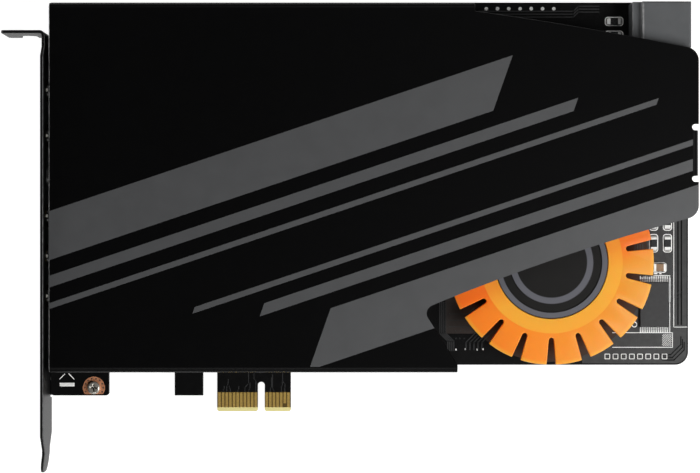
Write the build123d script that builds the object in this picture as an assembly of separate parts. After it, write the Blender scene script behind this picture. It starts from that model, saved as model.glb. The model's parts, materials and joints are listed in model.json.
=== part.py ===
from build123d import *

import os
from math import cos, radians, sin

# Sound card for a PCI Express x1 slot, with a folded cover and a slotted eye ring.
# X runs along the board away from the bracket, Y up from the slot contacts and Z out of the
# component side. The origin is the middle of the key notch, at the contact edge, on that side.
# All sizes are millimetres.

# Circuit board
BOARD_THICK = 1.57
BOARD_RIGHT = 117.6
BOARD_TOP = 112.6
BOARD_BOTTOM = 12.8
BOARD_TO_BRACKET = 0.2
BOARD_CORNER = 3.6
FOOT_WIDTH = 16.0
HOOK_WIDTH = 7.85
HOOK_TO_TONGUE = 3.85
TAB_DROP = 8.45
TAB_CORNER = 0.9
HOLE_CLEARANCE = 0.15

# Slot contacts and the key notch
CONTACT_PITCH = 1.0
CONTACT_WIDTH = 0.7
CONTACT_LENGTH = 4.1
CONTACT_SHORTER = 1.1
CONTACT_THICK = 0.05
LEFT_CONTACT_COUNT = 11
RIGHT_CONTACT_COUNT = 7
KEY_TO_CONTACT = 1.5
KEY_WIDTH = 1.9
KEY_DEPTH = 8.1
TONGUE_MARGIN = 0.65
TONGUE_CUT = 0.4
BEVEL_HEIGHT = 1.1
BEVEL_DEPTH = 0.4

# Slot bracket, one folded sheet
KEY_TO_BRACKET = 58.1
BRACKET_THICK = 0.86
BRACKET_WIDTH = 18.42
BRACKET_FRONT = 15.0
BRACKET_HEIGHT = 120.02
BRACKET_TOP = 103.98
BRACKET_BEND = 0.6
LEDGE_REACH = 11.9
LEDGE_CORNER = 1.0
NOTCH_WIDTH = 4.42
NOTCH_DEPTH = 6.4
NOTCH_TO_PLATE = 5.8
NECK_CUT = 3.0
NECK_HEIGHT = 4.4
NECK_SLOPE = 2.7
BLADE_WIDTH = 10.2
BLADE_FRONT = 11.1
BLADE_LENGTH = 10.1
BLADE_SLOPE = 3.9
BLADE_TIP = 3.6
BLADE_KICK = 0.6
EAR_WIDTH = 4.2
EAR_PAST_SCREW = 3.4
EAR_CORNER = 1.0
EAR_RELIEF = 0.6

# Bracket screws, through the board into the ears
SCREW_FROM_BRACKET = 12.0
LOWER_SCREW_Y = 6.5
UPPER_SCREW_Y = 98.0
SCREW_RADIUS = 1.0
SCREW_HEAD_RADIUS = 1.75
SCREW_HEAD_HEIGHT = 1.2
SCREW_HEAD_EDGE = 0.35
SCREW_END = 0.6
CROSS_WIDTH = 0.45
CROSS_LENGTH = 1.9
CROSS_DEPTH = 0.6
THREAD_GAP = 0.03

# Cover, one folded sheet
COVER_SHEET = 0.8
COVER_HEIGHT = 13.5
COVER_BEND = 0.8
COVER_TO_BRACKET = 1.3
COVER_TOP_INSET = 1.3
COVER_BOTTOM_OVERHANG = 1.4
COVER_TO_BOARD_END = 0.1
FLANGE_TO_BOARD = 0.4
TOP_FLANGE_END = 58.2
TOP_STEP = 2.3
UPPER_SWEEP_DROP = 12.7
UPPER_SWEEP_SAG = 0.5
LOWER_SWEEP_RISE = 42.4
LOWER_SWEEP_SAG = 1.45
BAY_X = 44.0
BAY_RISE = 17.1
BAY_FOOT_X = 53.5
BAY_FOOT_RISE = 2.1
COVER_CORNER = 3.6
BAY_CORNER = 2.4
CLIP_WIDTH = 12.2
CLIP_MIDDLE = 70.7
RELIEF_WIDTH = 1.7
RELIEF_PAST_BEND = 0.2

# Cover standoffs, screwed from the solder side
STANDOFF_RADIUS = 2.6
STANDOFF_SIDE_COUNT = 6
STANDOFF_INSET = 7.0
STANDOFF_LEFT_X = -33.0
STANDOFF_END_INSET = 8.4
STANDOFF_END_Y = 87.0
COVER_SCREW_RADIUS = 1.2
COVER_SCREW_HEAD_RADIUS = 2.3
COVER_SCREW_HEAD_HEIGHT = 1.3
COVER_SCREW_GRIP = 4.5

# Eye ring, its hub and lamps
EYE_FROM_END = 38.5
EYE_FROM_BOTTOM = 28.4
RING_TOP = 10.0
RING_RADIUS = 27.9
RING_THICK = 2.4
RING_RIM_DROP = 0.9
BAND_RADIUS = 19.3
SLOT_COUNT = 18
SLOT_FIRST_TURN = -90.0
SLOT_START = 20.5
SLOT_INNER_WIDTH = 1.3
SLOT_OUTER_WIDTH = 2.7
SLOT_END_CUT = 0.4
LEG_CIRCLE = 17.3
LEG_COUNT = 3
LEG_FIRST_TURN = 30.0
LEG_DEPTH = 2.0
LEG_WIDTH = 3.6
PEG_DEPTH = 1.0
PEG_WIDTH = 2.4
PEG_END = 0.7
HUB_RADIUS = 15.3
HUB_SEAT = 1.4
HUB_OUTER_LAND = 1.7
HUB_GROOVE = 2.2
HUB_STEP = 0.3
HUB_CLEARANCE = 0.1
LAMP_COUNT = 6
LAMP_LENGTH = 3.5
LAMP_WIDTH = 2.8
LAMP_HEIGHT = 1.9
LAMP_EDGE = 0.4

# Jacks behind the bracket
JACK_FIRST_Y = 32.0
JACK_PITCH = 10.9
EVEN_JACK_COUNT = 5
HEADPHONE_STEP = 12.4
DIGITAL_JACK_INDEX = 3
JACK_AXIS = 5.6
JACK_FROM_BRACKET = 1.0
JACK_DEPTH = 13.6
JACK_WIDTH = 10.2
JACK_HEIGHT = 10.8
JACK_EDGE = 0.6
JACK_BORE = 1.8
JACK_BORE_DEPTH = 11.6
JACK_BACK_STEP = 2.2
COLLAR_RADIUS = 3.1
COLLAR_RECESS = 0.1
COLLAR_CLEARANCE = 0.15
JACK_PIN_WIDTH = 1.2
JACK_PIN_THICK = 0.4
JACK_PIN_FRONT = 4.0
JACK_PIN_STEP = 6.5
JACK_PIN_SPREAD = 7.4
PIN_END = 1.3

# Power socket at the upper right corner
POWER_FROM_END = 0.65
POWER_FROM_TOP = 0.7
POWER_PITCH = 4.2
POWER_COLUMN_COUNT = 3
POWER_ROW_COUNT = 2
POWER_DEPTH = 13.35
POWER_HEIGHT = 10.9
POWER_CAVITY = 3.3
POWER_CAVITY_DEPTH = 10.0
POWER_CAVITY_CUT = 0.8
POWER_SQUARE_CAVITIES = (0, 3)
POWER_STEP_DEPTH = 2.4
POWER_STEP_HEIGHT = 8.8
POWER_EDGE = 0.5
POWER_PIN = 1.07
POWER_PIN_RECESS = 2.4
POWER_TAIL_STEP = 3.4

# Chips
CHIP_EDGE = 0.15
LEAD_THICK = 0.15
CHIP_LIFT = 0.1
MEMORY_FROM_END = 9.4
MEMORY_FROM_BOTTOM = 16.6
MEMORY_SIZE = (8.0, 12.4, 1.0)
MEMORY_LEAD_COUNT = 16
MEMORY_PITCH = 0.5
OPAMP_SIZE = (3.9, 4.9, 1.45)
CONVERTER_SIZE = (5.3, 10.2, 1.7)
CONVERTER_COUNT = 2
CONVERTER_STEP = 21.0
PROCESSOR_SIZE = (12.0, 12.0, 1.2)
PROCESSOR_X = 24.0
PROCESSOR_RISE = 29.0
BRIDGE_SIZE = (8.0, 8.0, 0.9)
BRIDGE_X = 0.0
BRIDGE_RISE = 10.0
HEADPHONE_AMP_SIZE = (5.0, 6.5, 1.1)
LEAD_WIDTH_SHARE = 0.45
LEAD_REACH = 0.9

# Analogue parts behind each jack, in columns along X
COLUMN_COUNT = 4
COLUMN_START = 6.4
COLUMN_STEP = 9.6
COUPLING_SIZE = (6.4, 7.6, 8.0)
SUPPLY_RADIUS = 4.0
SUPPLY_HEIGHT = 10.2
SUPPLY_COUNT = 4
SUPPLY_X = 6.0
SUPPLY_STEP = 12.0
SUPPLY_FROM_TOP = 33.0
BASE_HEIGHT = 1.0
BASE_MARGIN = 0.3
BASE_CUT = 1.2
FILM_SIZE = (4.6, 6.4, 3.6)
FILM_EDGE = 0.3
RELAY_SIZE = (10.0, 6.6, 5.2)
RELAY_X = 2.0
RELAY_EDGE = 0.4

# Supply and clock parts
CHOKE_COUNT = 3
CHOKE_SIZE = 7.2
CHOKE_HEIGHT = 4.2
CHOKE_X = 64.0
CHOKE_STEP = 11.0
CHOKE_FROM_TOP = 17.0
CHOKE_CUT = 1.6
REGULATOR_COUNT = 3
REGULATOR_SIZE = (6.5, 6.1, 2.3)
REGULATOR_X = 8.0
REGULATOR_STEP = 13.0
REGULATOR_FROM_TOP = 18.0
REGULATOR_TAB = (5.2, 1.4, 0.5)
CRYSTAL_SIZE = (7.0, 5.0, 1.8)
CRYSTAL_EDGE = 0.3
CRYSTAL_COUNT = 2
CRYSTAL_STEP = 8.0
CRYSTAL_RISE = 16.0

# Chip resistors and capacitors
CHIP_PART_LENGTH = 3.2
CHIP_PART_WIDTH = 1.6
RESISTOR_HEIGHT = 0.6
CERAMIC_HEIGHT = 1.2
CERAMIC_WIDTH = 2.0
PAIR_FROM_END = 5.7
PAIR_STEP = 3.8
PAIR_ROW_FROM_BOTTOM = 33.5
PAIR_ROW_STEP = 6.0
CERAMIC_FROM_END = 7.9
CERAMIC_FROM_BOTTOM = 26.8
TOP_PART_FROM_END = 20.4
TOP_PART_FROM_TOP = 5.2
TOP_PART_STEP = 3.8
CHIP_PART_FROM_OPAMP = 4.4

# Places worked out from the sizes above
BRACKET_X = -KEY_TO_BRACKET
BRACKET_OUTER = BRACKET_X - BRACKET_THICK
BRACKET_BACK = BRACKET_FRONT - BRACKET_WIDTH
BRACKET_TIP = BRACKET_TOP - BRACKET_HEIGHT
BOARD_LEFT = BRACKET_X + BOARD_TO_BRACKET
BOARD_BACK = -BOARD_THICK
TAB_BOTTOM = BOARD_BOTTOM - TAB_DROP
FOOT_RIGHT = BOARD_LEFT + FOOT_WIDTH
TONGUE_LEFT = -KEY_TO_CONTACT - (LEFT_CONTACT_COUNT - 1) * CONTACT_PITCH - TONGUE_MARGIN
TONGUE_RIGHT = KEY_TO_CONTACT + (RIGHT_CONTACT_COUNT - 1) * CONTACT_PITCH + TONGUE_MARGIN
HOOK_RIGHT = TONGUE_LEFT - HOOK_TO_TONGUE
HOOK_LEFT = HOOK_RIGHT - HOOK_WIDTH
SCREW_X = BRACKET_X + SCREW_FROM_BRACKET
BRACKET_SCREWS = [(SCREW_X, LOWER_SCREW_Y), (SCREW_X, UPPER_SCREW_Y)]
EAR_ROOT = BOARD_BACK + BOARD_TO_BRACKET + BRACKET_THICK

COVER_LEFT = BRACKET_X + COVER_TO_BRACKET
COVER_RIGHT = BOARD_RIGHT + COVER_TO_BOARD_END + COVER_SHEET
COVER_TOP = BOARD_TOP - COVER_TOP_INSET
COVER_BOTTOM = BOARD_BOTTOM - COVER_BOTTOM_OVERHANG
COVER_UNDER = COVER_HEIGHT - COVER_SHEET
RELIEF_DEPTH = COVER_BEND + COVER_SHEET + RELIEF_PAST_BEND
STANDOFFS = [
    (STANDOFF_LEFT_X, COVER_BOTTOM + STANDOFF_INSET),
    (STANDOFF_LEFT_X, COVER_TOP - STANDOFF_INSET),
    (BOARD_RIGHT - STANDOFF_END_INSET, STANDOFF_END_Y),
]

EYE_X = BOARD_RIGHT - EYE_FROM_END
EYE_Y = BOARD_BOTTOM + EYE_FROM_BOTTOM
SLOT_TURNS = [SLOT_FIRST_TURN + 360 / SLOT_COUNT * i for i in range(SLOT_COUNT)]
LEG_TURNS = [LEG_FIRST_TURN + 360 / LEG_COUNT * i for i in range(LEG_COUNT)]
LAMP_TURNS = [360 / LAMP_COUNT * i for i in range(LAMP_COUNT)]

JACK_FRONT = BRACKET_X + JACK_FROM_BRACKET
JACK_REAR = JACK_FRONT + JACK_DEPTH
JACK_YS = [JACK_FIRST_Y + i * JACK_PITCH for i in range(EVEN_JACK_COUNT)]
JACK_YS.append(JACK_YS[-1] + HEADPHONE_STEP)
JACK_PINS = [
    (JACK_FRONT + JACK_PIN_FRONT + JACK_PIN_STEP * column, y + side * JACK_PIN_SPREAD / 2)
    for y in JACK_YS
    for column in (0, 1)
    for side in (-1, 1)
]

POWER_RIGHT = BOARD_RIGHT - POWER_FROM_END
POWER_LEFT = POWER_RIGHT - POWER_DEPTH
POWER_BACK = POWER_LEFT - POWER_STEP_DEPTH
POWER_TOP_Y = BOARD_TOP - POWER_FROM_TOP
POWER_WIDTH = POWER_COLUMN_COUNT * POWER_PITCH
POWER_BOTTOM_Y = POWER_TOP_Y - POWER_WIDTH
POWER_PINS = [
    ((POWER_BACK + POWER_LEFT) / 2 + POWER_TAIL_STEP * (POWER_ROW_COUNT - 1 - row),
     POWER_BOTTOM_Y + POWER_PITCH * (column + 0.5),
     POWER_HEIGHT / 2 + POWER_PITCH * (row - (POWER_ROW_COUNT - 1) / 2))
    for column in range(POWER_COLUMN_COUNT)
    for row in range(POWER_ROW_COUNT)
]

ANALOGUE_YS = [y for i, y in enumerate(JACK_YS) if i != DIGITAL_JACK_INDEX]
COLUMN_XS = [JACK_REAR + COLUMN_START + i * COLUMN_STEP for i in range(COLUMN_COUNT)]
COUPLING_PLACES = [(COLUMN_XS[0], y) for y in ANALOGUE_YS]
FILTER_PLACES = [(COLUMN_XS[2], y) for y in ANALOGUE_YS]
OPAMP_PLACES = [(COLUMN_XS[1], y) for y in ANALOGUE_YS[:-1]]
HEADPHONE_AMP_PLACE = (COLUMN_XS[1], ANALOGUE_YS[-1])
CONVERTER_X = COLUMN_XS[-1] + COLUMN_STEP
CONVERTER_PLACES = [(CONVERTER_X, ANALOGUE_YS[1] + i * CONVERTER_STEP) for i in range(CONVERTER_COUNT)]
SUPPLY_Y = BOARD_TOP - SUPPLY_FROM_TOP
SUPPLY_PLACES = [(SUPPLY_X + i * SUPPLY_STEP, SUPPLY_Y) for i in range(SUPPLY_COUNT)]
MEMORY_PLACE = (BOARD_RIGHT - MEMORY_FROM_END, BOARD_BOTTOM + MEMORY_FROM_BOTTOM)
PROCESSOR_Y = BOARD_BOTTOM + PROCESSOR_RISE
BRIDGE_Y = BOARD_BOTTOM + BRIDGE_RISE


def polar(radius, degrees_round):
    """Point of the eye at a radius and an angle from +X."""
    turn = radians(degrees_round)
    return EYE_X + radius * cos(turn), EYE_Y + radius * sin(turn)


def slab(x0, x1, y0, y1, z0, z1):
    """Box between two opposite corners."""
    middle = Pos((x0 + x1) / 2, (y0 + y1) / 2, (z0 + z1) / 2)
    return middle * Box(x1 - x0, y1 - y0, z1 - z0)


def block(x, y, z, size):
    """Box of a size that stands at a height, centred on a place."""
    return Pos(x, y, z) * Box(*size, align=(Align.CENTER, Align.CENTER, Align.MIN))


def post(x, y, z0, z1, radius):
    """Upright cylinder between two heights."""
    upright = (Align.CENTER, Align.CENTER, Align.MIN)
    return Pos(x, y, z0) * Cylinder(radius, z1 - z0, align=upright)


def panel(x0, x1, y0, y1):
    """Flat rectangle between two opposite corners."""
    return Pos((x0 + x1) / 2, (y0 + y1) / 2) * Rectangle(x1 - x0, y1 - y0)


def corner(sketch, x, y):
    """The corner of a sketch that lies nearest to a place."""
    return sketch.vertices().sort_by_distance((x, y, 0))[0]


def top_edges(solid):
    """The edges round a solid's highest face."""
    return solid.faces().sort_by(Axis.Z)[-1].edges()


def group(shapes):
    """Separate solids that share a node."""
    return Compound([solid for shape in shapes for solid in shape.solids()])


def pin_hole(width, depth):
    """Hole in the board for a flat pin, with its clearance all round."""
    return Rectangle(width + 2 * HOLE_CLEARANCE, depth + 2 * HOLE_CLEARANCE)


def circuit_board():
    """Board with its foot, hook tab and keyed tongue, its holes and the bevelled contact edge."""
    root = BOARD_BOTTOM + BOARD_CORNER
    outline = panel(BOARD_LEFT, BOARD_RIGHT, BOARD_BOTTOM, BOARD_TOP)
    outline += panel(BOARD_LEFT, FOOT_RIGHT, TAB_BOTTOM, root)
    outline += panel(HOOK_LEFT, HOOK_RIGHT, TAB_BOTTOM, root)
    outline += panel(TONGUE_LEFT, TONGUE_RIGHT, 0, root)
    key_middle = KEY_DEPTH - KEY_WIDTH / 2
    outline -= panel(-KEY_WIDTH / 2, KEY_WIDTH / 2, -KEY_WIDTH, key_middle)
    outline -= Pos(0, key_middle) * Circle(KEY_WIDTH / 2)
    for x in (TONGUE_LEFT, -KEY_WIDTH / 2, KEY_WIDTH / 2, TONGUE_RIGHT):
        outline = chamfer(corner(outline, x, 0), TONGUE_CUT)
    outline = fillet(corner(outline, BOARD_RIGHT, BOARD_BOTTOM), BOARD_CORNER)
    for x in (BOARD_LEFT, FOOT_RIGHT):
        outline = fillet(corner(outline, x, TAB_BOTTOM), TAB_CORNER)
    outline = fillet(corner(outline, BOARD_RIGHT, BOARD_TOP), TAB_CORNER)
    for x, y in BRACKET_SCREWS:
        outline -= Pos(x, y) * Circle(SCREW_RADIUS + HOLE_CLEARANCE)
    for x, y in STANDOFFS:
        outline -= Pos(x, y) * Circle(COVER_SCREW_RADIUS + HOLE_CLEARANCE)
    for turn in LEG_TURNS:
        outline -= Pos(*polar(LEG_CIRCLE, turn)) * Rot(0, 0, turn) * pin_hole(PEG_DEPTH, PEG_WIDTH)
    for x, y in JACK_PINS:
        outline -= Pos(x, y) * pin_hole(JACK_PIN_WIDTH, JACK_PIN_THICK)
    for x, y, _ in POWER_PINS:
        outline -= Pos(x, y) * pin_hole(POWER_PIN, POWER_PIN)
    board = extrude(outline, -BOARD_THICK)
    for face, inward in ((0, -BEVEL_DEPTH), (BOARD_BACK, BEVEL_DEPTH)):
        wedge = make_face(Polyline((0, face), (BEVEL_HEIGHT, face), (0, face + inward), close=True))
        board -= Pos(TONGUE_LEFT, 0, 0) * extrude(Plane.YZ * wedge, TONGUE_RIGHT - TONGUE_LEFT)
    return board


def slot_contacts(front):
    """Row of contacts on one face of the tongue, with that face's shorter presence contact."""
    left = [-KEY_TO_CONTACT - i * CONTACT_PITCH for i in reversed(range(LEFT_CONTACT_COUNT))]
    right = [KEY_TO_CONTACT + i * CONTACT_PITCH for i in range(RIGHT_CONTACT_COUNT)]
    places = left + right
    shorter = len(places) - 2 if front else 0
    low, high = (0, CONTACT_THICK) if front else (BOARD_BACK - CONTACT_THICK, BOARD_BACK)
    contacts = []
    for i, x in enumerate(places):
        bottom = BEVEL_HEIGHT + (CONTACT_SHORTER if i == shorter else 0)
        top = BEVEL_HEIGHT + CONTACT_LENGTH
        half = CONTACT_WIDTH / 2
        contacts.append(slab(x - half, x + half, bottom, top, low, high))
    return group(contacts)


def bracket_ear(y):
    """Ear folded from the plate's back edge to lie on the board's solder side, its bend in their gap."""
    end = SCREW_X + EAR_PAST_SCREW
    path = Polyline((BRACKET_OUTER, EAR_ROOT), (BRACKET_OUTER, BOARD_BACK - BRACKET_THICK),
                    (end, BOARD_BACK - BRACKET_THICK), (end, BOARD_BACK),
                    (BRACKET_X, BOARD_BACK), (BRACKET_X, EAR_ROOT), close=True)
    section = make_face(path)
    outside = corner(section, BRACKET_OUTER, BOARD_BACK - BRACKET_THICK)
    section = fillet(outside, BOARD_TO_BRACKET + BRACKET_THICK)
    section = fillet(corner(section, BRACKET_X, BOARD_BACK), BOARD_TO_BRACKET)
    strip = extrude(Plane.XZ * section, EAR_WIDTH / 2, both=True)
    ear = Pos(0, y, 0) * strip
    return fillet(ear.edges().filter_by(Axis.Z).sort_by(Axis.X)[-2:], EAR_CORNER)


def bracket():
    """Slot bracket: screw ledge, neck, plate with jack holes, blade, and two ears."""
    kick_start = BRACKET_TIP + BLADE_LENGTH / 2
    ledge_end = BRACKET_X - LEDGE_REACH
    path = Polyline((ledge_end, BRACKET_TOP), (BRACKET_X, BRACKET_TOP), (BRACKET_X, kick_start),
                    (BRACKET_X - BLADE_KICK, BRACKET_TIP), (BRACKET_OUTER - BLADE_KICK, BRACKET_TIP),
                    (BRACKET_OUTER, kick_start), (BRACKET_OUTER, BRACKET_TOP - BRACKET_THICK),
                    (ledge_end, BRACKET_TOP - BRACKET_THICK), close=True)
    section = make_face(path)
    section = fillet(corner(section, BRACKET_X, BRACKET_TOP), BRACKET_BEND + BRACKET_THICK)
    section = fillet(corner(section, BRACKET_OUTER, BRACKET_TOP - BRACKET_THICK), BRACKET_BEND)
    sheet = Pos(0, 0, BRACKET_BACK) * extrude(section, BRACKET_WIDTH)

    blade_top = BRACKET_TIP + BLADE_LENGTH
    blade_back = BLADE_FRONT - BLADE_WIDTH
    neck_bottom = BRACKET_TOP - NECK_HEIGHT - NECK_SLOPE
    front = Polyline((BRACKET_TOP, BRACKET_BACK), (BRACKET_TOP, BRACKET_FRONT - NECK_CUT),
                     (neck_bottom + NECK_SLOPE, BRACKET_FRONT - NECK_CUT), (neck_bottom, BRACKET_FRONT),
                     (blade_top, BRACKET_FRONT), (blade_top - BLADE_SLOPE, BLADE_FRONT),
                     (BRACKET_TIP, BLADE_FRONT), (BRACKET_TIP, blade_back),
                     (blade_top - BLADE_SLOPE, blade_back), (blade_top, BRACKET_BACK), close=True)
    face = make_face(front)
    face = fillet(corner(face, BRACKET_TIP, BLADE_FRONT), BLADE_TIP)
    face = fillet(corner(face, BRACKET_TIP, blade_back), BLADE_TIP)
    for y in JACK_YS:
        face -= Pos(y, JACK_AXIS) * Circle(COLLAR_RADIUS + COLLAR_CLEARANCE)
    reach = LEDGE_REACH + BLADE_KICK
    sheet &= Pos(BRACKET_X - reach, 0, 0) * extrude(Plane.YZ * face, reach)

    notch_x = BRACKET_X - NOTCH_TO_PLATE
    notch_end = BRACKET_BACK + NOTCH_DEPTH - NOTCH_WIDTH / 2
    under = BRACKET_TOP - BRACKET_THICK
    half = NOTCH_WIDTH / 2
    sheet -= slab(notch_x - half, notch_x + half, under, BRACKET_TOP, BRACKET_BACK, notch_end)
    sheet -= Pos(notch_x, BRACKET_TOP, notch_end) * Rot(90, 0, 0) * Cylinder(
        half, BRACKET_THICK, align=(Align.CENTER, Align.CENTER, Align.MIN))
    sheet = fillet(sheet.edges().filter_by(Axis.Y).sort_by(Axis.X)[:2], LEDGE_CORNER)

    for y in (LOWER_SCREW_Y, UPPER_SCREW_Y):
        wide = EAR_WIDTH / 2 + EAR_RELIEF
        sheet -= slab(BRACKET_OUTER, BRACKET_X, y - wide, y + wide, BRACKET_BACK, EAR_ROOT)
        sheet += bracket_ear(y)
    for x, y in BRACKET_SCREWS:
        sheet -= post(x, y, BOARD_BACK - BRACKET_THICK, BOARD_BACK, SCREW_RADIUS + THREAD_GAP)
    return sheet


def screw(head_radius, head_height, shank_radius, shank_length):
    """Pan-head cross screw with its shank down from the seat at height zero."""
    head = post(0, 0, 0, head_height, head_radius)
    head = chamfer(top_edges(head), SCREW_HEAD_EDGE)
    for width, length in ((CROSS_WIDTH, CROSS_LENGTH), (CROSS_LENGTH, CROSS_WIDTH)):
        head -= block(0, 0, head_height - CROSS_DEPTH, (width, length, CROSS_DEPTH))
    return head + post(0, 0, -shank_length, 0, shank_radius)


def bracket_screws():
    """Two screws, from the component side into the bracket's ears."""
    length = BOARD_THICK + BRACKET_THICK + SCREW_END
    one = screw(SCREW_HEAD_RADIUS, SCREW_HEAD_HEIGHT, SCREW_RADIUS, length)
    return group([Pos(x, y, 0) * one for x, y in BRACKET_SCREWS])


def sweep_arc(start, end, sag):
    """Shallow arc that bows towards +Y by a sag at its middle."""
    middle = ((start[0] + end[0]) / 2, (start[1] + end[1]) / 2 + sag)
    return ThreePointArc(start, middle, end)


def cover_outline():
    """Plan of the cover: straight long edges, two swept edges and the bay round the eye."""
    step = (TOP_FLANGE_END, COVER_TOP - TOP_STEP)
    upper_end = (COVER_RIGHT, COVER_TOP - UPPER_SWEEP_DROP)
    lower_end = (COVER_RIGHT, COVER_BOTTOM + LOWER_SWEEP_RISE)
    bay = (BAY_X, COVER_BOTTOM + BAY_RISE)
    foot = (BAY_FOOT_X, COVER_BOTTOM + BAY_FOOT_RISE)
    path = Polyline((COVER_LEFT, COVER_BOTTOM), (COVER_LEFT, COVER_TOP), (TOP_FLANGE_END, COVER_TOP), step)
    path += sweep_arc(step, upper_end, UPPER_SWEEP_SAG)
    path += Line(upper_end, lower_end)
    path += sweep_arc(lower_end, bay, LOWER_SWEEP_SAG)
    path += Polyline(bay, foot, (BAY_FOOT_X, COVER_BOTTOM), (COVER_LEFT, COVER_BOTTOM))
    plan = make_face(path)
    plan = fillet(corner(plan, *upper_end), COVER_CORNER)
    plan = fillet(corner(plan, *lower_end), COVER_CORNER)
    return fillet(corner(plan, *bay), BAY_CORNER)


def folded_edge(x0, x1, z0, z1):
    """Section of a sheet that turns down at its right end, with Z as the second axis."""
    path = Polyline((x0, z1), (x1, z1), (x1, z0), (x1 - COVER_SHEET, z0),
                    (x1 - COVER_SHEET, z1 - COVER_SHEET), (x0, z1 - COVER_SHEET), close=True)
    section = make_face(path)
    section = fillet(corner(section, x1, z1), COVER_BEND + COVER_SHEET)
    return fillet(corner(section, x1 - COVER_SHEET, z1 - COVER_SHEET), COVER_BEND)


def cover():
    """Folded cover: channel section cut to its plan, and a clip folded down at the board's end."""
    outside = panel(COVER_BOTTOM, COVER_TOP, FLANGE_TO_BOARD, COVER_HEIGHT)
    inside = panel(COVER_BOTTOM + COVER_SHEET, COVER_TOP - COVER_SHEET, FLANGE_TO_BOARD, COVER_UNDER)
    for y in (COVER_BOTTOM, COVER_TOP):
        outside = fillet(corner(outside, y, COVER_HEIGHT), COVER_BEND + COVER_SHEET)
    for y in (COVER_BOTTOM + COVER_SHEET, COVER_TOP - COVER_SHEET):
        inside = fillet(corner(inside, y, COVER_UNDER), COVER_BEND)
    section = Plane.YZ * (outside - inside)
    channel = Pos(COVER_LEFT, 0, 0) * extrude(section, COVER_RIGHT - COVER_LEFT)
    sheet = channel & extrude(cover_outline(), COVER_HEIGHT)

    root_x = COVER_RIGHT - RELIEF_DEPTH
    clip_low = CLIP_MIDDLE - CLIP_WIDTH / 2
    clip_high = CLIP_MIDDLE + CLIP_WIDTH / 2
    relief_round = RELIEF_WIDTH / 2
    for y in (clip_low - relief_round, clip_high + relief_round):
        centre = root_x + relief_round
        sheet -= slab(centre, COVER_RIGHT, y - relief_round, y + relief_round, COVER_UNDER, COVER_HEIGHT)
        sheet -= post(centre, y, COVER_UNDER, COVER_HEIGHT, relief_round)
    sheet -= slab(root_x, COVER_RIGHT, clip_low, clip_high, COVER_UNDER, COVER_HEIGHT)
    clip = extrude(Plane.XZ * folded_edge(root_x, COVER_RIGHT, BOARD_BACK, COVER_HEIGHT), -CLIP_WIDTH)
    return sheet + Pos(0, clip_low, 0) * clip


def cover_standoffs():
    """Tapped six-sided posts between the board and the cover."""
    posts = []
    for x, y in STANDOFFS:
        whole = extrude(Pos(x, y) * RegularPolygon(STANDOFF_RADIUS, STANDOFF_SIDE_COUNT), COVER_UNDER)
        posts.append(whole - post(x, y, 0, COVER_SCREW_GRIP + SCREW_END, COVER_SCREW_RADIUS + THREAD_GAP))
    return group(posts)


def cover_screws():
    """Screws from the solder side into the standoffs."""
    one = screw(COVER_SCREW_HEAD_RADIUS, COVER_SCREW_HEAD_HEIGHT, COVER_SCREW_RADIUS,
                BOARD_THICK + COVER_SCREW_GRIP)
    return group([Pos(x, y, BOARD_BACK) * Rot(180, 0, 0) * one for x, y in STANDOFFS])


def ring_slot():
    """Tapered slot with its inner corners cut, laid outwards along +X from the eye's middle."""
    half_in = SLOT_INNER_WIDTH / 2
    half_out = SLOT_OUTER_WIDTH / 2
    past = RING_RADIUS + half_out
    slot = make_face(Polyline((SLOT_START, half_in), (past, half_out), (past, -half_out),
                              (SLOT_START, -half_in), close=True))
    for side in (-1, 1):
        slot = chamfer(corner(slot, SLOT_START, side * half_in), SLOT_END_CUT)
    return slot


def eye_ring():
    """Moulded ring: flat inner band, sloping slotted rim, seat for the hub and three legs."""
    under = RING_TOP - RING_THICK
    rim_top = RING_TOP - RING_RIM_DROP
    seat = RING_TOP - HUB_SEAT
    path = Polyline((0, under), (RING_RADIUS, under), (RING_RADIUS, rim_top), (BAND_RADIUS, RING_TOP),
                    (HUB_RADIUS + HUB_CLEARANCE, RING_TOP), (HUB_RADIUS + HUB_CLEARANCE, seat),
                    (0, seat), close=True)
    ring = revolve(Plane.XZ * make_face(path), Axis.Z)
    slot = Pos(0, 0, under) * extrude(ring_slot(), RING_THICK)
    for turn in SLOT_TURNS:
        ring -= Rot(0, 0, turn) * slot
    ring = Pos(EYE_X, EYE_Y, 0) * ring
    for turn in LEG_TURNS:
        leg = block(0, 0, 0, (LEG_DEPTH, LEG_WIDTH, under))
        leg += block(0, 0, BOARD_BACK - PEG_END, (PEG_DEPTH, PEG_WIDTH, BOARD_THICK + PEG_END))
        ring += Pos(*polar(LEG_CIRCLE, turn)) * Rot(0, 0, turn) * leg
    return ring


def eye_hub():
    """Dark hub with a shallow round groove."""
    seat = RING_TOP - HUB_SEAT
    low = RING_TOP - HUB_STEP
    groove_out = HUB_RADIUS - HUB_OUTER_LAND
    groove_in = groove_out - HUB_GROOVE
    path = Polyline((0, seat), (HUB_RADIUS, seat), (HUB_RADIUS, RING_TOP), (groove_out, RING_TOP),
                    (groove_out, low), (groove_in, low), (groove_in, RING_TOP), (0, RING_TOP), close=True)
    return Pos(EYE_X, EYE_Y, 0) * revolve(Plane.XZ * make_face(path), Axis.Z)


def eye_lamps():
    """Lamps on the board under the ring's band, each with a bevelled lens."""
    one = chamfer(top_edges(block(0, 0, 0, (LAMP_LENGTH, LAMP_WIDTH, LAMP_HEIGHT))), LAMP_EDGE)
    places = [(polar(LEG_CIRCLE, turn), turn) for turn in LAMP_TURNS]
    return group([Pos(x, y, 0) * Rot(0, 0, turn) * one for (x, y), turn in places])


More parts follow.
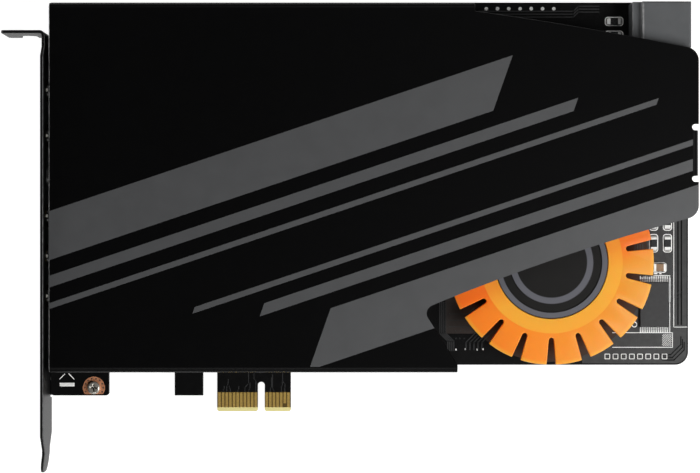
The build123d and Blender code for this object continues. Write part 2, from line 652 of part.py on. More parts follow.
def jack_body(y):
    """Jack housing with a stepped back and the plug's bore."""
    half = JACK_WIDTH / 2
    body = slab(JACK_FRONT, JACK_REAR, y - half, y + half, 0, JACK_HEIGHT)
    body = chamfer(top_edges(body), JACK_EDGE)
    step_x = JACK_REAR - JACK_BACK_STEP
    step_z = JACK_HEIGHT - JACK_BACK_STEP
    body -= slab(step_x, JACK_REAR, y - half, y + half, step_z, JACK_HEIGHT)
    along = Pos(JACK_FRONT, y, JACK_AXIS) * Rot(0, 90, 0)
    start = (Align.CENTER, Align.CENTER, Align.MIN)
    return body - along * Cylinder(JACK_BORE, JACK_BORE_DEPTH, align=start)


def jack_collar(y):
    """Turned collar from the housing's front out through the bracket, bored for the plug."""
    outer_end = BRACKET_OUTER + COLLAR_RECESS
    collar = extrude(Circle(COLLAR_RADIUS) - Circle(JACK_BORE), JACK_FRONT - outer_end)
    return Pos(outer_end, y, JACK_AXIS) * Rot(0, 90, 0) * collar


def jack_pins():
    """Flat solder pins under the jack housings, through the board."""
    size = (JACK_PIN_WIDTH, JACK_PIN_THICK, BOARD_THICK + PIN_END)
    return group([block(x, y, BOARD_BACK - PIN_END, size) for x, y in JACK_PINS])


def power_pin(tail_x, y, z):
    """Bent square pin: along X in its cavity, then down through the board."""
    half = POWER_PIN / 2
    tip = POWER_RIGHT - POWER_PIN_RECESS
    along = slab(tail_x - half, tip, y - half, y + half, z - half, z + half)
    return along + slab(tail_x - half, tail_x + half, y - half, y + half, BOARD_BACK - PIN_END, z + half)


def power_socket():
    """Right-angle six-way socket: keyed cavities open to the board's end, and a lower back step."""
    body = slab(POWER_LEFT, POWER_RIGHT, POWER_BOTTOM_Y, POWER_TOP_Y, 0, POWER_HEIGHT)
    body = chamfer(top_edges(body), POWER_EDGE)
    body += slab(POWER_BACK, POWER_LEFT, POWER_BOTTOM_Y, POWER_TOP_Y, 0, POWER_STEP_HEIGHT)
    half = POWER_CAVITY / 2
    for i, (_, y, z) in enumerate(POWER_PINS):
        mouth = panel(-half, half, -half, half)
        if i not in POWER_SQUARE_CAVITIES:
            for side in (-1, 1):
                mouth = chamfer(corner(mouth, side * half, half), POWER_CAVITY_CUT)
        cavity = extrude(Plane.YZ * mouth, -POWER_CAVITY_DEPTH)
        body -= Pos(POWER_RIGHT, y, z) * cavity
    for pin in POWER_PINS:
        body -= power_pin(*pin)
    return body


def power_pins():
    """The six pins of the power socket."""
    return group([power_pin(*pin) for pin in POWER_PINS])


def chip(x, y, size):
    """Moulded chip body, a little off the board, with a bevelled top."""
    body = block(x, y, CHIP_LIFT, size)
    return chamfer(top_edges(body), CHIP_EDGE)


def chip_leads():
    """Sloping leads on the memory's two short sides, from half its height down to the board."""
    half = MEMORY_SIZE[1] / 2
    mid = CHIP_LIFT + MEMORY_SIZE[2] / 2
    end = half + LEAD_REACH
    path = Polyline((half, mid), (end, LEAD_THICK), (end, 0), (half, mid - LEAD_THICK), close=True)
    one = extrude(Plane.XZ * make_face(path), MEMORY_PITCH * LEAD_WIDTH_SHARE / 2, both=True)
    x, y = MEMORY_PLACE
    leads = []
    for i in range(MEMORY_LEAD_COUNT):
        shift = (i - (MEMORY_LEAD_COUNT - 1) / 2) * MEMORY_PITCH
        for turn in (90, 270):
            leads.append(Pos(x + shift, y, 0) * Rot(0, 0, turn) * one)
    return group(leads)


def supply_capacitors():
    """Electrolytic cans on their bases."""
    return group([post(x, y, BASE_HEIGHT, SUPPLY_HEIGHT, SUPPLY_RADIUS) for x, y in SUPPLY_PLACES])


def capacitor_bases():
    """Square plastic bases under the cans, two corners cut."""
    half = SUPPLY_RADIUS + BASE_MARGIN
    plan = panel(-half, half, -half, half)
    for side in (-1, 1):
        plan = chamfer(corner(plan, -half, side * half), BASE_CUT)
    base = extrude(plan, BASE_HEIGHT)
    return group([Pos(x, y, 0) * base for x, y in SUPPLY_PLACES])


def boxed_capacitors(places, size):
    """Film capacitors in box cases with bevelled tops."""
    one = chamfer(top_edges(block(0, 0, 0, size)), FILM_EDGE)
    return group([Pos(x, y, 0) * one for x, y in places])


def muting_relays():
    """Relays between the film capacitors and the converters, on the outer analogue rows."""
    one = chamfer(top_edges(block(0, 0, 0, RELAY_SIZE)), RELAY_EDGE)
    x = COLUMN_XS[-1] + RELAY_X
    return group([Pos(x, y, 0) * one for y in (ANALOGUE_YS[0], ANALOGUE_YS[-1])])


def supply_chokes():
    """Moulded chokes near the power socket, with cut corners."""
    half = CHOKE_SIZE / 2
    plan = chamfer(panel(-half, half, -half, half).vertices(), CHOKE_CUT)
    one = extrude(plan, CHOKE_HEIGHT)
    y = BOARD_TOP - CHOKE_FROM_TOP
    return group([Pos(CHOKE_X + i * CHOKE_STEP, y, 0) * one for i in range(CHOKE_COUNT)])


def voltage_regulators():
    """Regulators with a metal tab each, in a row under the top edge."""
    shapes = []
    y = BOARD_TOP - REGULATOR_FROM_TOP
    for i in range(REGULATOR_COUNT):
        x = REGULATOR_X + i * REGULATOR_STEP
        body = chamfer(top_edges(block(x, y, 0, REGULATOR_SIZE)), CHIP_EDGE)
        back = y + REGULATOR_SIZE[1] / 2 + REGULATOR_TAB[1] / 2
        shapes.append(body + block(x, back, 0, REGULATOR_TAB))
    return group(shapes)


def clock_crystals():
    """Flat crystal cans, beside the audio processor."""
    one = chamfer(top_edges(block(0, 0, 0, CRYSTAL_SIZE)), CRYSTAL_EDGE)
    y = PROCESSOR_Y + CRYSTAL_RISE
    return group([Pos(PROCESSOR_X, y + i * CRYSTAL_STEP, 0) * one for i in range(CRYSTAL_COUNT)])


def chip_resistors():
    """Resistors: two pairs at the board's end, two by the power socket, one beside each op-amp."""
    upright = (CHIP_PART_WIDTH, CHIP_PART_LENGTH, RESISTOR_HEIGHT)
    level = (CHIP_PART_LENGTH, CHIP_PART_WIDTH, RESISTOR_HEIGHT)
    parts = []
    for column in (0, 1):
        for row in (0, 1):
            x = BOARD_RIGHT - PAIR_FROM_END - column * PAIR_STEP
            y = BOARD_BOTTOM + PAIR_ROW_FROM_BOTTOM + row * PAIR_ROW_STEP
            parts.append(block(x, y, 0, upright))
    for i in (0, 1):
        y = BOARD_TOP - TOP_PART_FROM_TOP - i * TOP_PART_STEP
        parts.append(block(BOARD_RIGHT - TOP_PART_FROM_END, y, 0, level))
    for x, y in OPAMP_PLACES:
        parts.append(block(x + CHIP_PART_FROM_OPAMP, y, 0, upright))
    return group(parts)


def chip_capacitors():
    """Ceramic capacitors: one at the board's end, and one by each op-amp."""
    level = (CHIP_PART_LENGTH, CHIP_PART_WIDTH, CERAMIC_HEIGHT)
    wide = (CHIP_PART_LENGTH, CERAMIC_WIDTH, CERAMIC_HEIGHT)
    parts = [block(BOARD_RIGHT - CERAMIC_FROM_END, BOARD_BOTTOM + CERAMIC_FROM_BOTTOM, 0, wide)]
    for x, y in OPAMP_PLACES:
        parts.append(block(x, y + CHIP_PART_FROM_OPAMP, 0, level))
    return group(parts)


JACK_NAMES = ["line", "front", "rear", "digital", "microphone", "headphone"]
NODES = {
    "circuit_board": circuit_board(),
    "slot_contacts_front": slot_contacts(True),
    "slot_contacts_back": slot_contacts(False),
    "bracket": bracket(),
    "bracket_screws": bracket_screws(),
    "cover": cover(),
    "cover_standoffs": cover_standoffs(),
    "cover_screws": cover_screws(),
    "eye_ring": eye_ring(),
    "eye_hub": eye_hub(),
    "eye_lamps": eye_lamps(),
    "jack_pins": jack_pins(),
    "power_socket": power_socket(),
    "power_pins": power_pins(),
    "firmware_memory": chip(*MEMORY_PLACE, MEMORY_SIZE),
    "playback_converter": chip(*CONVERTER_PLACES[0], CONVERTER_SIZE),
    "recording_converter": chip(*CONVERTER_PLACES[1], CONVERTER_SIZE),
    "op_amps": group([chip(x, y, OPAMP_SIZE) for x, y in OPAMP_PLACES]),
    "headphone_amplifier": chip(*HEADPHONE_AMP_PLACE, HEADPHONE_AMP_SIZE),
    "audio_processor": chip(PROCESSOR_X, PROCESSOR_Y, PROCESSOR_SIZE),
    "bus_bridge": chip(BRIDGE_X, BRIDGE_Y, BRIDGE_SIZE),
    "chip_leads": chip_leads(),
    "coupling_capacitors": boxed_capacitors(COUPLING_PLACES, COUPLING_SIZE),
    "supply_capacitors": supply_capacitors(),
    "capacitor_bases": capacitor_bases(),
    "film_capacitors": boxed_capacitors(FILTER_PLACES, FILM_SIZE),
    "muting_relays": muting_relays(),
    "supply_chokes": supply_chokes(),
    "voltage_regulators": voltage_regulators(),
    "clock_crystals": clock_crystals(),
    "chip_resistors": chip_resistors(),
    "chip_capacitors": chip_capacitors(),
}
for jack_name, jack_y in zip(JACK_NAMES, JACK_YS):
    NODES[f"{jack_name}_jack"] = jack_body(jack_y)
    NODES[f"{jack_name}_collar"] = jack_collar(jack_y)

os.makedirs("parts", exist_ok=True)
for node, shape in NODES.items():
    export_step(shape, f"parts/{node}.step")
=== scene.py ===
import json
import math
import random

import bmesh
import bpy
from mathutils import Matrix, Vector

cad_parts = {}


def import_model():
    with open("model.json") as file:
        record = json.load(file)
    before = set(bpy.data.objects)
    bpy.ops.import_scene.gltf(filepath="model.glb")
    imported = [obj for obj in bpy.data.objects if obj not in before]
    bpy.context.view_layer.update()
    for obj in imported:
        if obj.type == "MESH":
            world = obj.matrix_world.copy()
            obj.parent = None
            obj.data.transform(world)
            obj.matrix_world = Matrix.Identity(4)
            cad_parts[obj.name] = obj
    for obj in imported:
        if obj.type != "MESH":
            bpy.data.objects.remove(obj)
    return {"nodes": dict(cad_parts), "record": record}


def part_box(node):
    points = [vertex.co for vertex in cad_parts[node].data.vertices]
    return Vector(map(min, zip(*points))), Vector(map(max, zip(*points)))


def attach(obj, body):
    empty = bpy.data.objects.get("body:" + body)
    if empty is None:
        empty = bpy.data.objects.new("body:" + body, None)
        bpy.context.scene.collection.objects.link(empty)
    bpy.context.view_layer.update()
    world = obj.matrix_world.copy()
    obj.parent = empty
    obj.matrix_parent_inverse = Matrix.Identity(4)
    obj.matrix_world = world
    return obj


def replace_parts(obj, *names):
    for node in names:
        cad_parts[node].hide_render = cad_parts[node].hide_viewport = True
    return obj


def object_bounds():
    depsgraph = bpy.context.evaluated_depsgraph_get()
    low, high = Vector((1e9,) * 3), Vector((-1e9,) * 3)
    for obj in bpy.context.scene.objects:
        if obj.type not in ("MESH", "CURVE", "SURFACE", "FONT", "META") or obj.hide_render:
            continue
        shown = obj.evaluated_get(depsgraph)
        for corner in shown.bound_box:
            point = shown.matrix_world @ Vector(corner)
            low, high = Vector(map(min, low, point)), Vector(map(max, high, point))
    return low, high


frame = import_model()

# Sound card with a folded black cover, an orange eye ring and a slot bracket.
# The frame is the card's own: X along the board away from the bracket, Y up from the slot
# contacts, Z out of the component side. Places and sizes are millimetres where no comment
# says otherwise. A tilt is one part of a face's unit normal, from nought to one.
MM = 0.001
cad_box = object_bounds()
nodes = frame["nodes"]
scene = bpy.context.scene

# Mesh making, with angles in degrees
MERGE = 0.001
FLAT_ANGLE = 0.5
SHARP_ANGLE = 32.0
SMOOTH_ANGLE = 50.0
EASING_SEGMENTS = 2
CORNER_SEGMENTS = 4

# Steps in a full turn
BACK_VIA_STEPS = 10
VIA_STEPS = 12
PAD_STEPS = 16
CONE_STEPS = 20
MARK_STEPS = 24
SCREW_RING_STEPS = 32
LAND_STEPS = 48
FIELD_STEPS = 64

# Colours of the sheet metal, the screws and the jacks
COVER_COLOUR = (0.0009, 0.0009, 0.001)
INK_COLOUR = (0.054, 0.055, 0.057)
# Painted highlight on the cover's edge by the bracket
COVER_EDGE_HIGHLIGHT = (0.9, 0.9, 0.9)
PLATED_STEEL = (0.004, 0.004, 0.0042)
# Painted highlight on the bracket's edges
BRACKET_EDGE_HIGHLIGHT = (0.2, 0.2, 0.2)
SCREW_COLOUR = (0.5, 0.475, 0.42)
BLACK_SCREW = (0.03, 0.03, 0.033)
STANDOFF_BRASS = (0.66, 0.52, 0.26)
GOLD_COLOUR = (0.85, 0.57, 0.16)
# Black of the dark jack's collar, and painted shade on the gold collars behind the bracket
BLACK_AND_SHADED_COLLAR = (0.012, 0.012, 0.012)
# Painted highlight on the gold collars' crowns
CROWN_HIGHLIGHT_COLOUR = (0.75, 0.74, 0.68)
JACK_BLACK = (0.012, 0.012, 0.012)

# Colours of the board
MASK_COLOUR = (0.003, 0.003, 0.0031)
# Mask over copper at the board's end, made paler with painted light from the right
POUR_AND_PAINTED_LIGHT_COLOUR = (0.035, 0.035, 0.035)
# Painted light on the mask in the bay by the cover's lower edge
BAY_PAINTED_LIGHT_COLOUR = (0.034, 0.025, 0.021)
# Painted light and shade that the eye ring casts on the board under it
PAINTED_RING_LIGHT_COLOUR = (0.06, 0.02, 0.009)
PAINTED_RING_LIGHT_RIM = (0.045, 0.027, 0.019)
TRACK_COLOUR = (0.028, 0.0285, 0.029)
GAP_COLOUR = (0.002, 0.002, 0.002)
LAMINATE_COLOUR = (0.05, 0.042, 0.025)
LAMINATE_DARK = (0.02, 0.016, 0.01)
BARE_LAMINATE = (0.76, 0.67, 0.235)
BETWEEN_CONTACTS = (0.1, 0.065, 0.018)
COPPER_COLOUR = (0.76, 0.33, 0.17)
SOLDER_COLOUR = (0.86, 0.86, 0.84)
PRINT_COLOUR = (0.9, 0.9, 0.88)

# Colours of the eye
HUB_COLOUR = (0.006, 0.0055, 0.005)
HUB_RING_COLOUR = (0.105, 0.105, 0.12)
RING_COLOUR = (0.92, 0.212, 0.016)
# Painted light on the ring's right side
RING_LIT_SIDE_COLOUR = (0.77, 0.305, 0.024)
# Inner band of the ring, and the painted highlight on its rim
RING_BAND_AND_HIGHLIGHT_COLOUR = (0.85, 0.375, 0.037)
# Painted shade on the ring near the cover's edge
RING_PAINTED_SHADE = (0.9, 0.142, 0.012)
# Painted shade low in the ring's slots
RING_LOW_SHADE = (0.62, 0.08, 0.006)
LAMP_CREAM = (0.85, 0.8, 0.55)

# Colours of the parts on the board
SOCKET_GREY = (0.083, 0.086, 0.089)
# Painted highlight on the edge of the socket's step
SOCKET_EDGE_HIGHLIGHT = (0.3, 0.3, 0.3)
TIN_COLOUR = (0.78, 0.78, 0.77)
CHIP_BLACK = (0.014, 0.014, 0.0145)
CAN_SILVER = (0.72, 0.72, 0.73)
CRYSTAL_SILVER = (0.68, 0.68, 0.68)
BASE_BLACK = (0.02, 0.02, 0.02)
FILM_RED = (0.42, 0.03, 0.022)
RELAY_IVORY = (0.62, 0.6, 0.54)
FERRITE_GREY = (0.06, 0.06, 0.064)
RESISTOR_BLACK = (0.02, 0.02, 0.021)
CERAMIC_TAN = (0.26, 0.16, 0.09)

# Grain of the finishes, their painted highlights and their painted shade
NOISE_DETAIL = 4
GRAIN_ROUGHNESS = 0.6
GRAIN_DEPTH = 0.05
FROM_BRACKET = 1
TO_BRACKET = -1
# Painted edge highlights: how far an edge faces up and out, and the grain, detail and least share of their
# patches
HIGHLIGHT_TILT = (0.2, 0.4)
HIGHLIGHT_GRAIN = 1.5
HIGHLIGHT_DETAIL = 3
HIGHLIGHT_LEAST = 0.25
# Painted shade on the screws' recess floors: its heights, its tilt and its share
SCREW_RECESS = (0.85, 1.15)
RECESS_TILT = (0.8, 0.95)
RECESS_SHADE = -0.9
# Painted shade on the collars behind the bracket, and the tilt of their painted crown highlight
COLLAR_SHADE_SHORT = 0.225
COLLAR_SHADE_BLUR = 0.025
CROWN_HIGHLIGHT_TILT = (0.984, 0.994)

# Laminate at the board's edges, on the tongue's bevel and between its contacts
WEAVE_GRAIN = 0.25
WEAVE_ROUGHNESS = 0.7
WEAVE_STRETCH = (1, 1, 5)
WEAVE_SHADE = -0.25
WALL_TILT = (0.05, 0.2)
BEVEL_TILT = (0.5, 0.6)
FACE_TILT = (0.97, 0.99)
BARE_ABOVE = 0.1
BARE_BESIDE = 0.8
BARE_BLUR = 0.05

# Eye
HUB_RINGS = ((9.65, 11.3), (13.75, 15.15))
EYE_BLUR = 0.1
RING_DRIFT = 24.0
RING_GLOW = 0.35
RING_GLOW_REACH = 1.0
RING_GLOW_SHARES = (3.0, 0.8, 0.15)
RING_BAND = 19.3
RING_RIM_HIGHLIGHT = (26.7, 27.9)
RING_DEPTH = (7.8, 8.9)
# Painted shade on the ring: its share, its reach out from the cover's edge, and the share left on the band
SHADE_SHARE = 0.75
SHADE_REACH = (1.5, 7.0)
BAND_SHADE = 0.5
# Ring of board under the eye that is painted with the ring's cast light and shade
FIELD_RADII = (14.0, 27.6)
FIELD_FADE = (22.5, 27.6)

# Cover print: each bar's low side, high side, start and end, laid off from a corner of the swept edge
BAR_ORIGIN = (44.3, 28.8)
BAR_TURN = math.radians(18.6)
BAR_END_TURN = math.radians(-38)
INK_THICK = 0.02
BARS = (
    (-6.0, 8.0, -30.0, 110.0),
    (12.0, 15.0, -52.0, 110.0),
    (18.5, 20.0, -74.0, 110.0),
    (32.0, 33.5, -140.0, 52.0),
    (37.5, 40.5, -140.0, 26.0),
    (44.5, 57.0, -140.0, 0.0),
)

# Layers on the board's faces: how deep they are all sunk in, and how far each stands out
SUNK = 0.02
POUR_TOP = 0.012
FIELD_TOP = 0.02
TRACK_TOP = 0.03
VIA_TOP = 0.03
STITCH_TOP = 0.04
PRINT_TOP = 0.045

# Copper of the component side, and painted light on its mask: tracks have a width, a count, a shift from one
# to the next, and a path
POUR_INSET = 0.4
END_POUR_AND_PAINTED_LIGHT = ((88.0, 0.0), (120.0, 60.0))
# Painted light in the bay, which is no copper
BAY_PAINTED_LIGHT = ((50.3, 21.0), (66.0, 34.0))
FRONT_TRACKS = (
    (0.32, 4, (0.55, 0), ((49.2, 30.0), (49.2, 21.5), (51.4, 19.3), (51.4, 16.8))),
    (0.3, 3, (0, -1.75), ((51.8, 26.8), (57.0, 26.8), (58.6, 28.4))),
    (0.3, 5, (1.1, 0), ((56.4, 17.0), (56.4, 19.0), (59.4, 22.0))),
    (0.3, 3, (0.5, -0.7), ((109.0, 15.6), (112.4, 15.6), (115.2, 18.4))),
    (0.3, 2, (0, 1.0), ((99.0, 14.6), (108.0, 14.6), (109.2, 15.8))),
    (0.3, 3, (0, 0.8), ((60.0, 108.6), (86.0, 108.6), (87.4, 110.0), (93.0, 110.0))),
    (0.3, 4, (0.7, 0), ((103.0, 46.0), (103.0, 39.0), (105.0, 37.0))),
    (0.3, 2, (0.5, -0.5), ((112.9, 30.6), (114.9, 32.6), (115.3, 33.6))),
)
FRONT_GAPS = (
    (0.4, 2, (0.95, 0), ((114.8, 56.0), (114.8, 24.0))),
    (0.3, 3, (0.45, -0.75), ((109.6, 15.6), (112.8, 15.6), (115.6, 18.4), (115.6, 20.5))),
)
VIA_RADIUS = 0.22
VIA_HOLE = 0.1
FRONT_VIAS = (
    (53.65, 22.1), (55.0, 22.1), (56.1, 22.1), (52.0, 20.05), (53.65, 20.05), (54.75, 20.05), (55.9, 20.05),
    (112.9, 39.2), (116.4, 40.2), (116.3, 20.4), (105.4, 15.9),
)
BAY_PADS = ((53.65, 17.0), (56.25, 17.1), (59.5, 17.0), (61.1, 17.1))
BAY_PAD = (0.34, 0.5)
LAND_PAST = 0.7
TEST_PAD_COUNT = 7
TEST_PAD_PLACE = (62.0, 110.9)
TEST_PAD_STEP = 3.1
TEST_PAD_RADIUS = 0.5

# Tracks on the tongue: each one's contact, rise to its bend, sideways jog and last run
TONGUE_TRACK_WIDTH = 0.2
TONGUE_TRACKS = (
    (1, 0.7, 0.3, 0.6), (2, 1.9, 0.4, 1.3), (3, 1.0, -0.3, 0.4), (5, 0.5, 0.3, 0.8), (7, 1.4, 1.0, 3.6),
    (8, 0.6, 0.4, 1.6), (10, 3.2, -0.5, 1.4), (12, 1.1, 0.3, 2.6), (13, 0.6, -0.4, 4.0), (15, 1.6, 0.3, 1.8),
    (16, 2.4, -0.6, 2.2),
)

# White print of the component side
PRINT_LINE = 0.24
THIN_LINE = 0.17
PRINT_FROM_X = 90.0
SIDE_GAP = 0.45
RESISTOR_GAP = 0.95
CERAMIC_GAP = 0.35
THIN_PART = 0.9
OUTLINE_CORNER = 0.8
PRINT_LINES = (
    ((113.65, 57.0), (113.65, 23.2)),
    ((113.65, 23.2), (117.3, 23.2)),
    ((108.2, 37.4), (112.3, 37.4)),
    ((112.55, 37.4), (112.55, 21.65)),
    ((96.8, 21.65), (113.3, 21.65)),
    ((96.8, 17.63), (113.3, 17.63)),
    ((113.3, 21.65), (113.3, 17.63)),
)
FOOT_STROKES = (
    ((-55.5, 8.9), (-54.1, 10.3)),
    ((-53.0, 10.3), (-51.6, 8.9)),
)
HATCH_LOW = (110.5, 18.0)
HATCH_HIGH = (113.0, 21.3)
HATCH_STEP = 0.5
HATCH_LINE = 0.1
PRINT_BLOCKS = (
    ((-55.5, 6.86), (-51.45, 7.84)),
    ((112.35, 30.1), (112.75, 36.8)),
    ((108.2, 37.75), (109.1, 38.5)),
    ((109.7, 37.75), (110.3, 38.5)),
)
BOX_COUNT = 8
BOX_PLACE = (94.6, 14.35)
BOX_STEP = 2.25
BOX_SIZE = 1.5
BOX_CORNER = 0.2
BOX_LINE = 0.18
PIN_ONE_RING = (102.8, 23.9)
PIN_ONE_RADIUS = 0.8

# Chip parts' ends, with the share of a part's height that the solder climbs
CAP_LENGTH = 0.55
CAP_PLATE = 0.02
FILLET_REACH = 0.42
FILLET_CLIMB = 0.7
FILLET_TOE = 0.06

# Foot's land
FOOT_LAND_RADIUS = 3.05
FOOT_LAND_CUT = 4.75
LAND_UNDER = 0.2
STITCH_COUNT = 14
STITCH_CIRCLE = 2.55
STITCH_RADIUS = 0.24
STITCH_HOLE = 0.08

# Memory's dimple: its floor and the start of its lip are shares of its radius
DIMPLE_INSET = 1.3
DIMPLE_RADIUS = 0.55
DIMPLE_RIM = 0.02
DIMPLE_FLOOR = 0.7
DIMPLE_LIP = 0.9

# Solder side: via groups have a corner, columns, rows and a step
BACK_SEED = 7
BACK_TRACK_REACH = (5.0, 12.0)
BACK_TRACK_JOG = (2.0, 4.0)
BACK_TRACK_WIDTH = 0.4
BACK_CONTACT_RISE = (5.0, 12.0)
BACK_CONTACT_JOG = 0.25
BACK_TRACKS = (
    (0.4, 8, (0, 1.2), ((5.0, 30.0), (12.0, 30.0), (20.0, 38.0), (46.0, 38.0))),
    (0.4, 6, (0, -1.3), ((40.0, 96.0), (70.0, 96.0), (80.0, 86.0), (100.0, 86.0))),
    (0.6, 4, (0, 1.6), ((-30.0, 70.0), (-4.0, 70.0), (6.0, 60.0), (60.0, 60.0), (68.0, 52.0))),
    (0.9, 3, (1.9, 0), ((92.0, 20.0), (92.0, 40.0), (101.0, 49.0), (101.0, 76.0))),
    (0.4, 7, (1.2, 0), ((-6.0, 22.0), (-6.0, 46.0), (-16.0, 56.0))),
    (0.4, 5, (0, 1.4), ((-28.0, 88.0), (8.0, 88.0), (14.0, 94.0), (34.0, 94.0))),
)
BACK_VIA_GROUPS = (
    (-12.0, 24.0, 8, 3, 2.6), (20.0, 46.0, 10, 5, 2.4), (-28.0, 60.0, 4, 8, 3.1), (50.0, 66.0, 9, 4, 3.0),
    (84.0, 60.0, 5, 6, 2.8), (0.0, 76.0, 12, 3, 3.2), (60.0, 16.0, 8, 3, 3.4), (44.0, 102.0, 14, 2, 3.6),
)
BACK_VIA_SHARE = 0.55
JACK_LAND = 1.15
POWER_LAND = 1.3
SCREW_RING_GAP = 0.9

# Solder cones: shares of the land's radius, and of the way from the land to the tip
CONE_SHORT = 0.35
CONE_PROFILE = ((0.8, 0.0), (0.62, 0.25), (0.5, 0.6), (0.42, 1.0))

# Edges eased on the solids, with the widths of their roundings and their finishes. Past its limit
# along X a solid stays sharp, as the cover does at the fold of its clip.
SHARP_BEYOND = {"cover": 115.5}
EASED = (
    ("cover_sheet", "cover", 0.2, "cover_paint"),
    ("bracket_sheet", "bracket", 0.22, "bracket_steel"),
    ("slotted_ring", "eye_ring", 0.22, "ring_plastic"),
    ("grooved_hub", "eye_hub", 0.14, "hub_plastic"),
    ("socket_shell", "power_socket", 0.2, "socket_plastic"),
    ("pan_screws", "bracket_screws", 0.15, "screw_steel"),
    ("black_screws", "cover_screws", 0.12, "black_screw"),
    ("memory_body", "firmware_memory", 0.06, "chip_plastic"),
    ("processor_body", "audio_processor", 0.06, "chip_plastic"),
    ("relay_cases", "muting_relays", 0.2, "relay_plastic"),
    ("choke_blocks", "supply_chokes", 0.25, "choke_ferrite"),
    ("crystal_cans", "clock_crystals", 0.15, "crystal_can"),
    ("can_bodies", "supply_capacitors", 0.5, "capacitor_can"),
)
COLLAR_EASING = 0.3
DARK_JACK = "digital_jack"

# Stage: the floor's size and the lamps' places and sizes are metres, and their powers watts
FLOOR_GLOW = 0.94
FLOOR_GREY = 0.3
FLOOR_SIZE = 4.0
# Painted shadow on the floor under the board's end by the bracket
UNDER_LOW = (-60.0, 7.5)
UNDER_HIGH = (-50.0, 14.0)
SKY_FALL = (0.45, 0.9)
OVERHEAD_LIGHT = 0.05
AMBIENT_LIGHT = 0.35
FLAG_SIDE = (-0.8, -0.2)
FLAGGED_LIGHT = 0.15
CAMERA_PLACE = (24.45, 48.15, 630.0)
CAMERA_LENS = 117.6
CAMERA_SENSOR = 36
LAMP_TARGET = (0.04, 0.05, 0.0)
LAMPS = (
    ("key_lamp", (0.37, -0.12, 0.4), 0.3, 2.8),
    ("fill_lamp", (0.0, -0.65, 0.75), 0.25, 2.7),
    ("top_lamp", (0.1, 0.6, 0.65), 0.25, 1.0),
    ("rim_lamp", (-0.6, 0.12, 0.12), 0.25, 1.6),
)


# Meshes

def mm(*values):
    """Point given in millimetres, as a vector in metres."""
    return Vector(values) * MM


def merged(solid):
    """Merged copy of a CAD node's mesh."""
    bm = bmesh.new()
    bm.from_mesh(nodes[solid].data)
    bmesh.ops.remove_doubles(bm, verts=bm.verts, dist=MERGE * MM)
    return bm


def solids(name):
    """Low and high corners, in millimetres, of each separate solid of a CAD node."""
    bm = merged(name)
    left = set(bm.verts)
    boxes = []
    while left:
        front = [left.pop()]
        part = []
        while front:
            vert = front.pop()
            part.append(vert.co / MM)
            for edge in vert.link_edges:
                other = edge.other_vert(vert)
                if other in left:
                    left.remove(other)
                    front.append(other)
        low = Vector([min(p[i] for p in part) for i in range(3)])
        high = Vector([max(p[i] for p in part) for i in range(3)])
        boxes.append((low, high))
    bm.free()
    return sorted(boxes, key=lambda box: tuple(round(c, 2) for c in box[0]))


def piece(name, bm, coating, smooth=None):
    """Object from a bmesh, riding on the card. Faces meeting below the smooth angle are shaded as one."""
    mesh = bpy.data.meshes.new(name)
    bm.to_mesh(mesh)
    bm.free()
    mesh.materials.append(coating)
    thing = bpy.data.objects.new(name, mesh)
    scene.collection.objects.link(thing)
    if smooth:
        mesh.shade_smooth()
        mesh.set_sharp_from_angle(angle=math.radians(smooth))
    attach(thing, "root")
    return thing


def join_flat(bm):
    """Joins the triangles of each flat face."""
    bmesh.ops.dissolve_limit(bm, angle_limit=math.radians(FLAT_ANGLE), verts=bm.verts, edges=bm.edges)


def outward(bm):
    """Turns the faces of closed shapes outwards."""
    bmesh.ops.recalc_face_normals(bm, faces=bm.faces)
    return bm


def eased_copy(name, solid, width, slot):
    """Copy of a CAD solid with its sharp edges eased, which stands for the node."""
    bm = merged(solid)
    join_flat(bm)
    limit = SHARP_BEYOND.get(solid, math.inf) * MM
    sharp = [e for e in bm.edges if e.is_manifold and e.calc_face_angle(0) > math.radians(SHARP_ANGLE)
             and max(v.co.x for v in e.verts) < limit]
    bmesh.ops.bevel(bm, geom=sharp, offset=width * MM, offset_type="OFFSET", segments=EASING_SEGMENTS,
                    profile=0.5, affect="EDGES", clamp_overlap=False, material=-1)
    thing = piece(name, bm, finishes[slot], smooth=SMOOTH_ANGLE)
    flat = thing.modifiers.new("flat_faces", "WEIGHTED_NORMAL")
    flat.keep_sharp = True
    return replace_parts(thing, solid)


def slab(bm, low, high, turn=0.0):
    """Closed box between two corners, turned about its own upright axis."""
    low, high = Vector(low) * MM, Vector(high) * MM
    size = high - low
    middle = Matrix.Translation((low + high) / 2) @ Matrix.Rotation(turn, 4, "Z")
    bmesh.ops.create_cube(bm, size=1, matrix=middle @ Matrix.Diagonal((*size, 1)))


def bar(bm, start, end, width, z0, z1):
    """Closed flat strip between two points of the board, with its ends run on by half its width."""
    start, end = Vector(start), Vector(end)
    along = end - start
    middle = (start + end) / 2
    half = Vector((along.length / 2 + width / 2, width / 2))
    slab(bm, (*(middle - half), z0), (*(middle + half), z1), math.atan2(along.y, along.x))


def tracks(bm, path, width, z0, z1, count=1, shift=(0, 0)):
    """Tracks along a path of straight runs, repeated side by side."""
    for i in range(count):
        points = [Vector(p) + Vector(shift) * i for p in path]
        for start, end in zip(points, points[1:]):
            bar(bm, start, end, width, z0, z1)


def turned(bm, profile, x, y, steps):
    """Closed round shape on an upright axis, spun from a profile of (radius, height) points."""
    others = set(bm.verts)
    verts = [bm.verts.new(mm(x + r, y, z)) for r, z in profile]
    edges = [bm.edges.new(pair) for pair in zip(verts, verts[1:])]
    bmesh.ops.spin(bm, geom=verts + edges, cent=mm(x, y, 0), axis=(0, 0, 1),
                   angle=math.tau, steps=steps, use_merge=True)
    bmesh.ops.remove_doubles(bm, verts=[v for v in bm.verts if v not in others], dist=MERGE * MM)


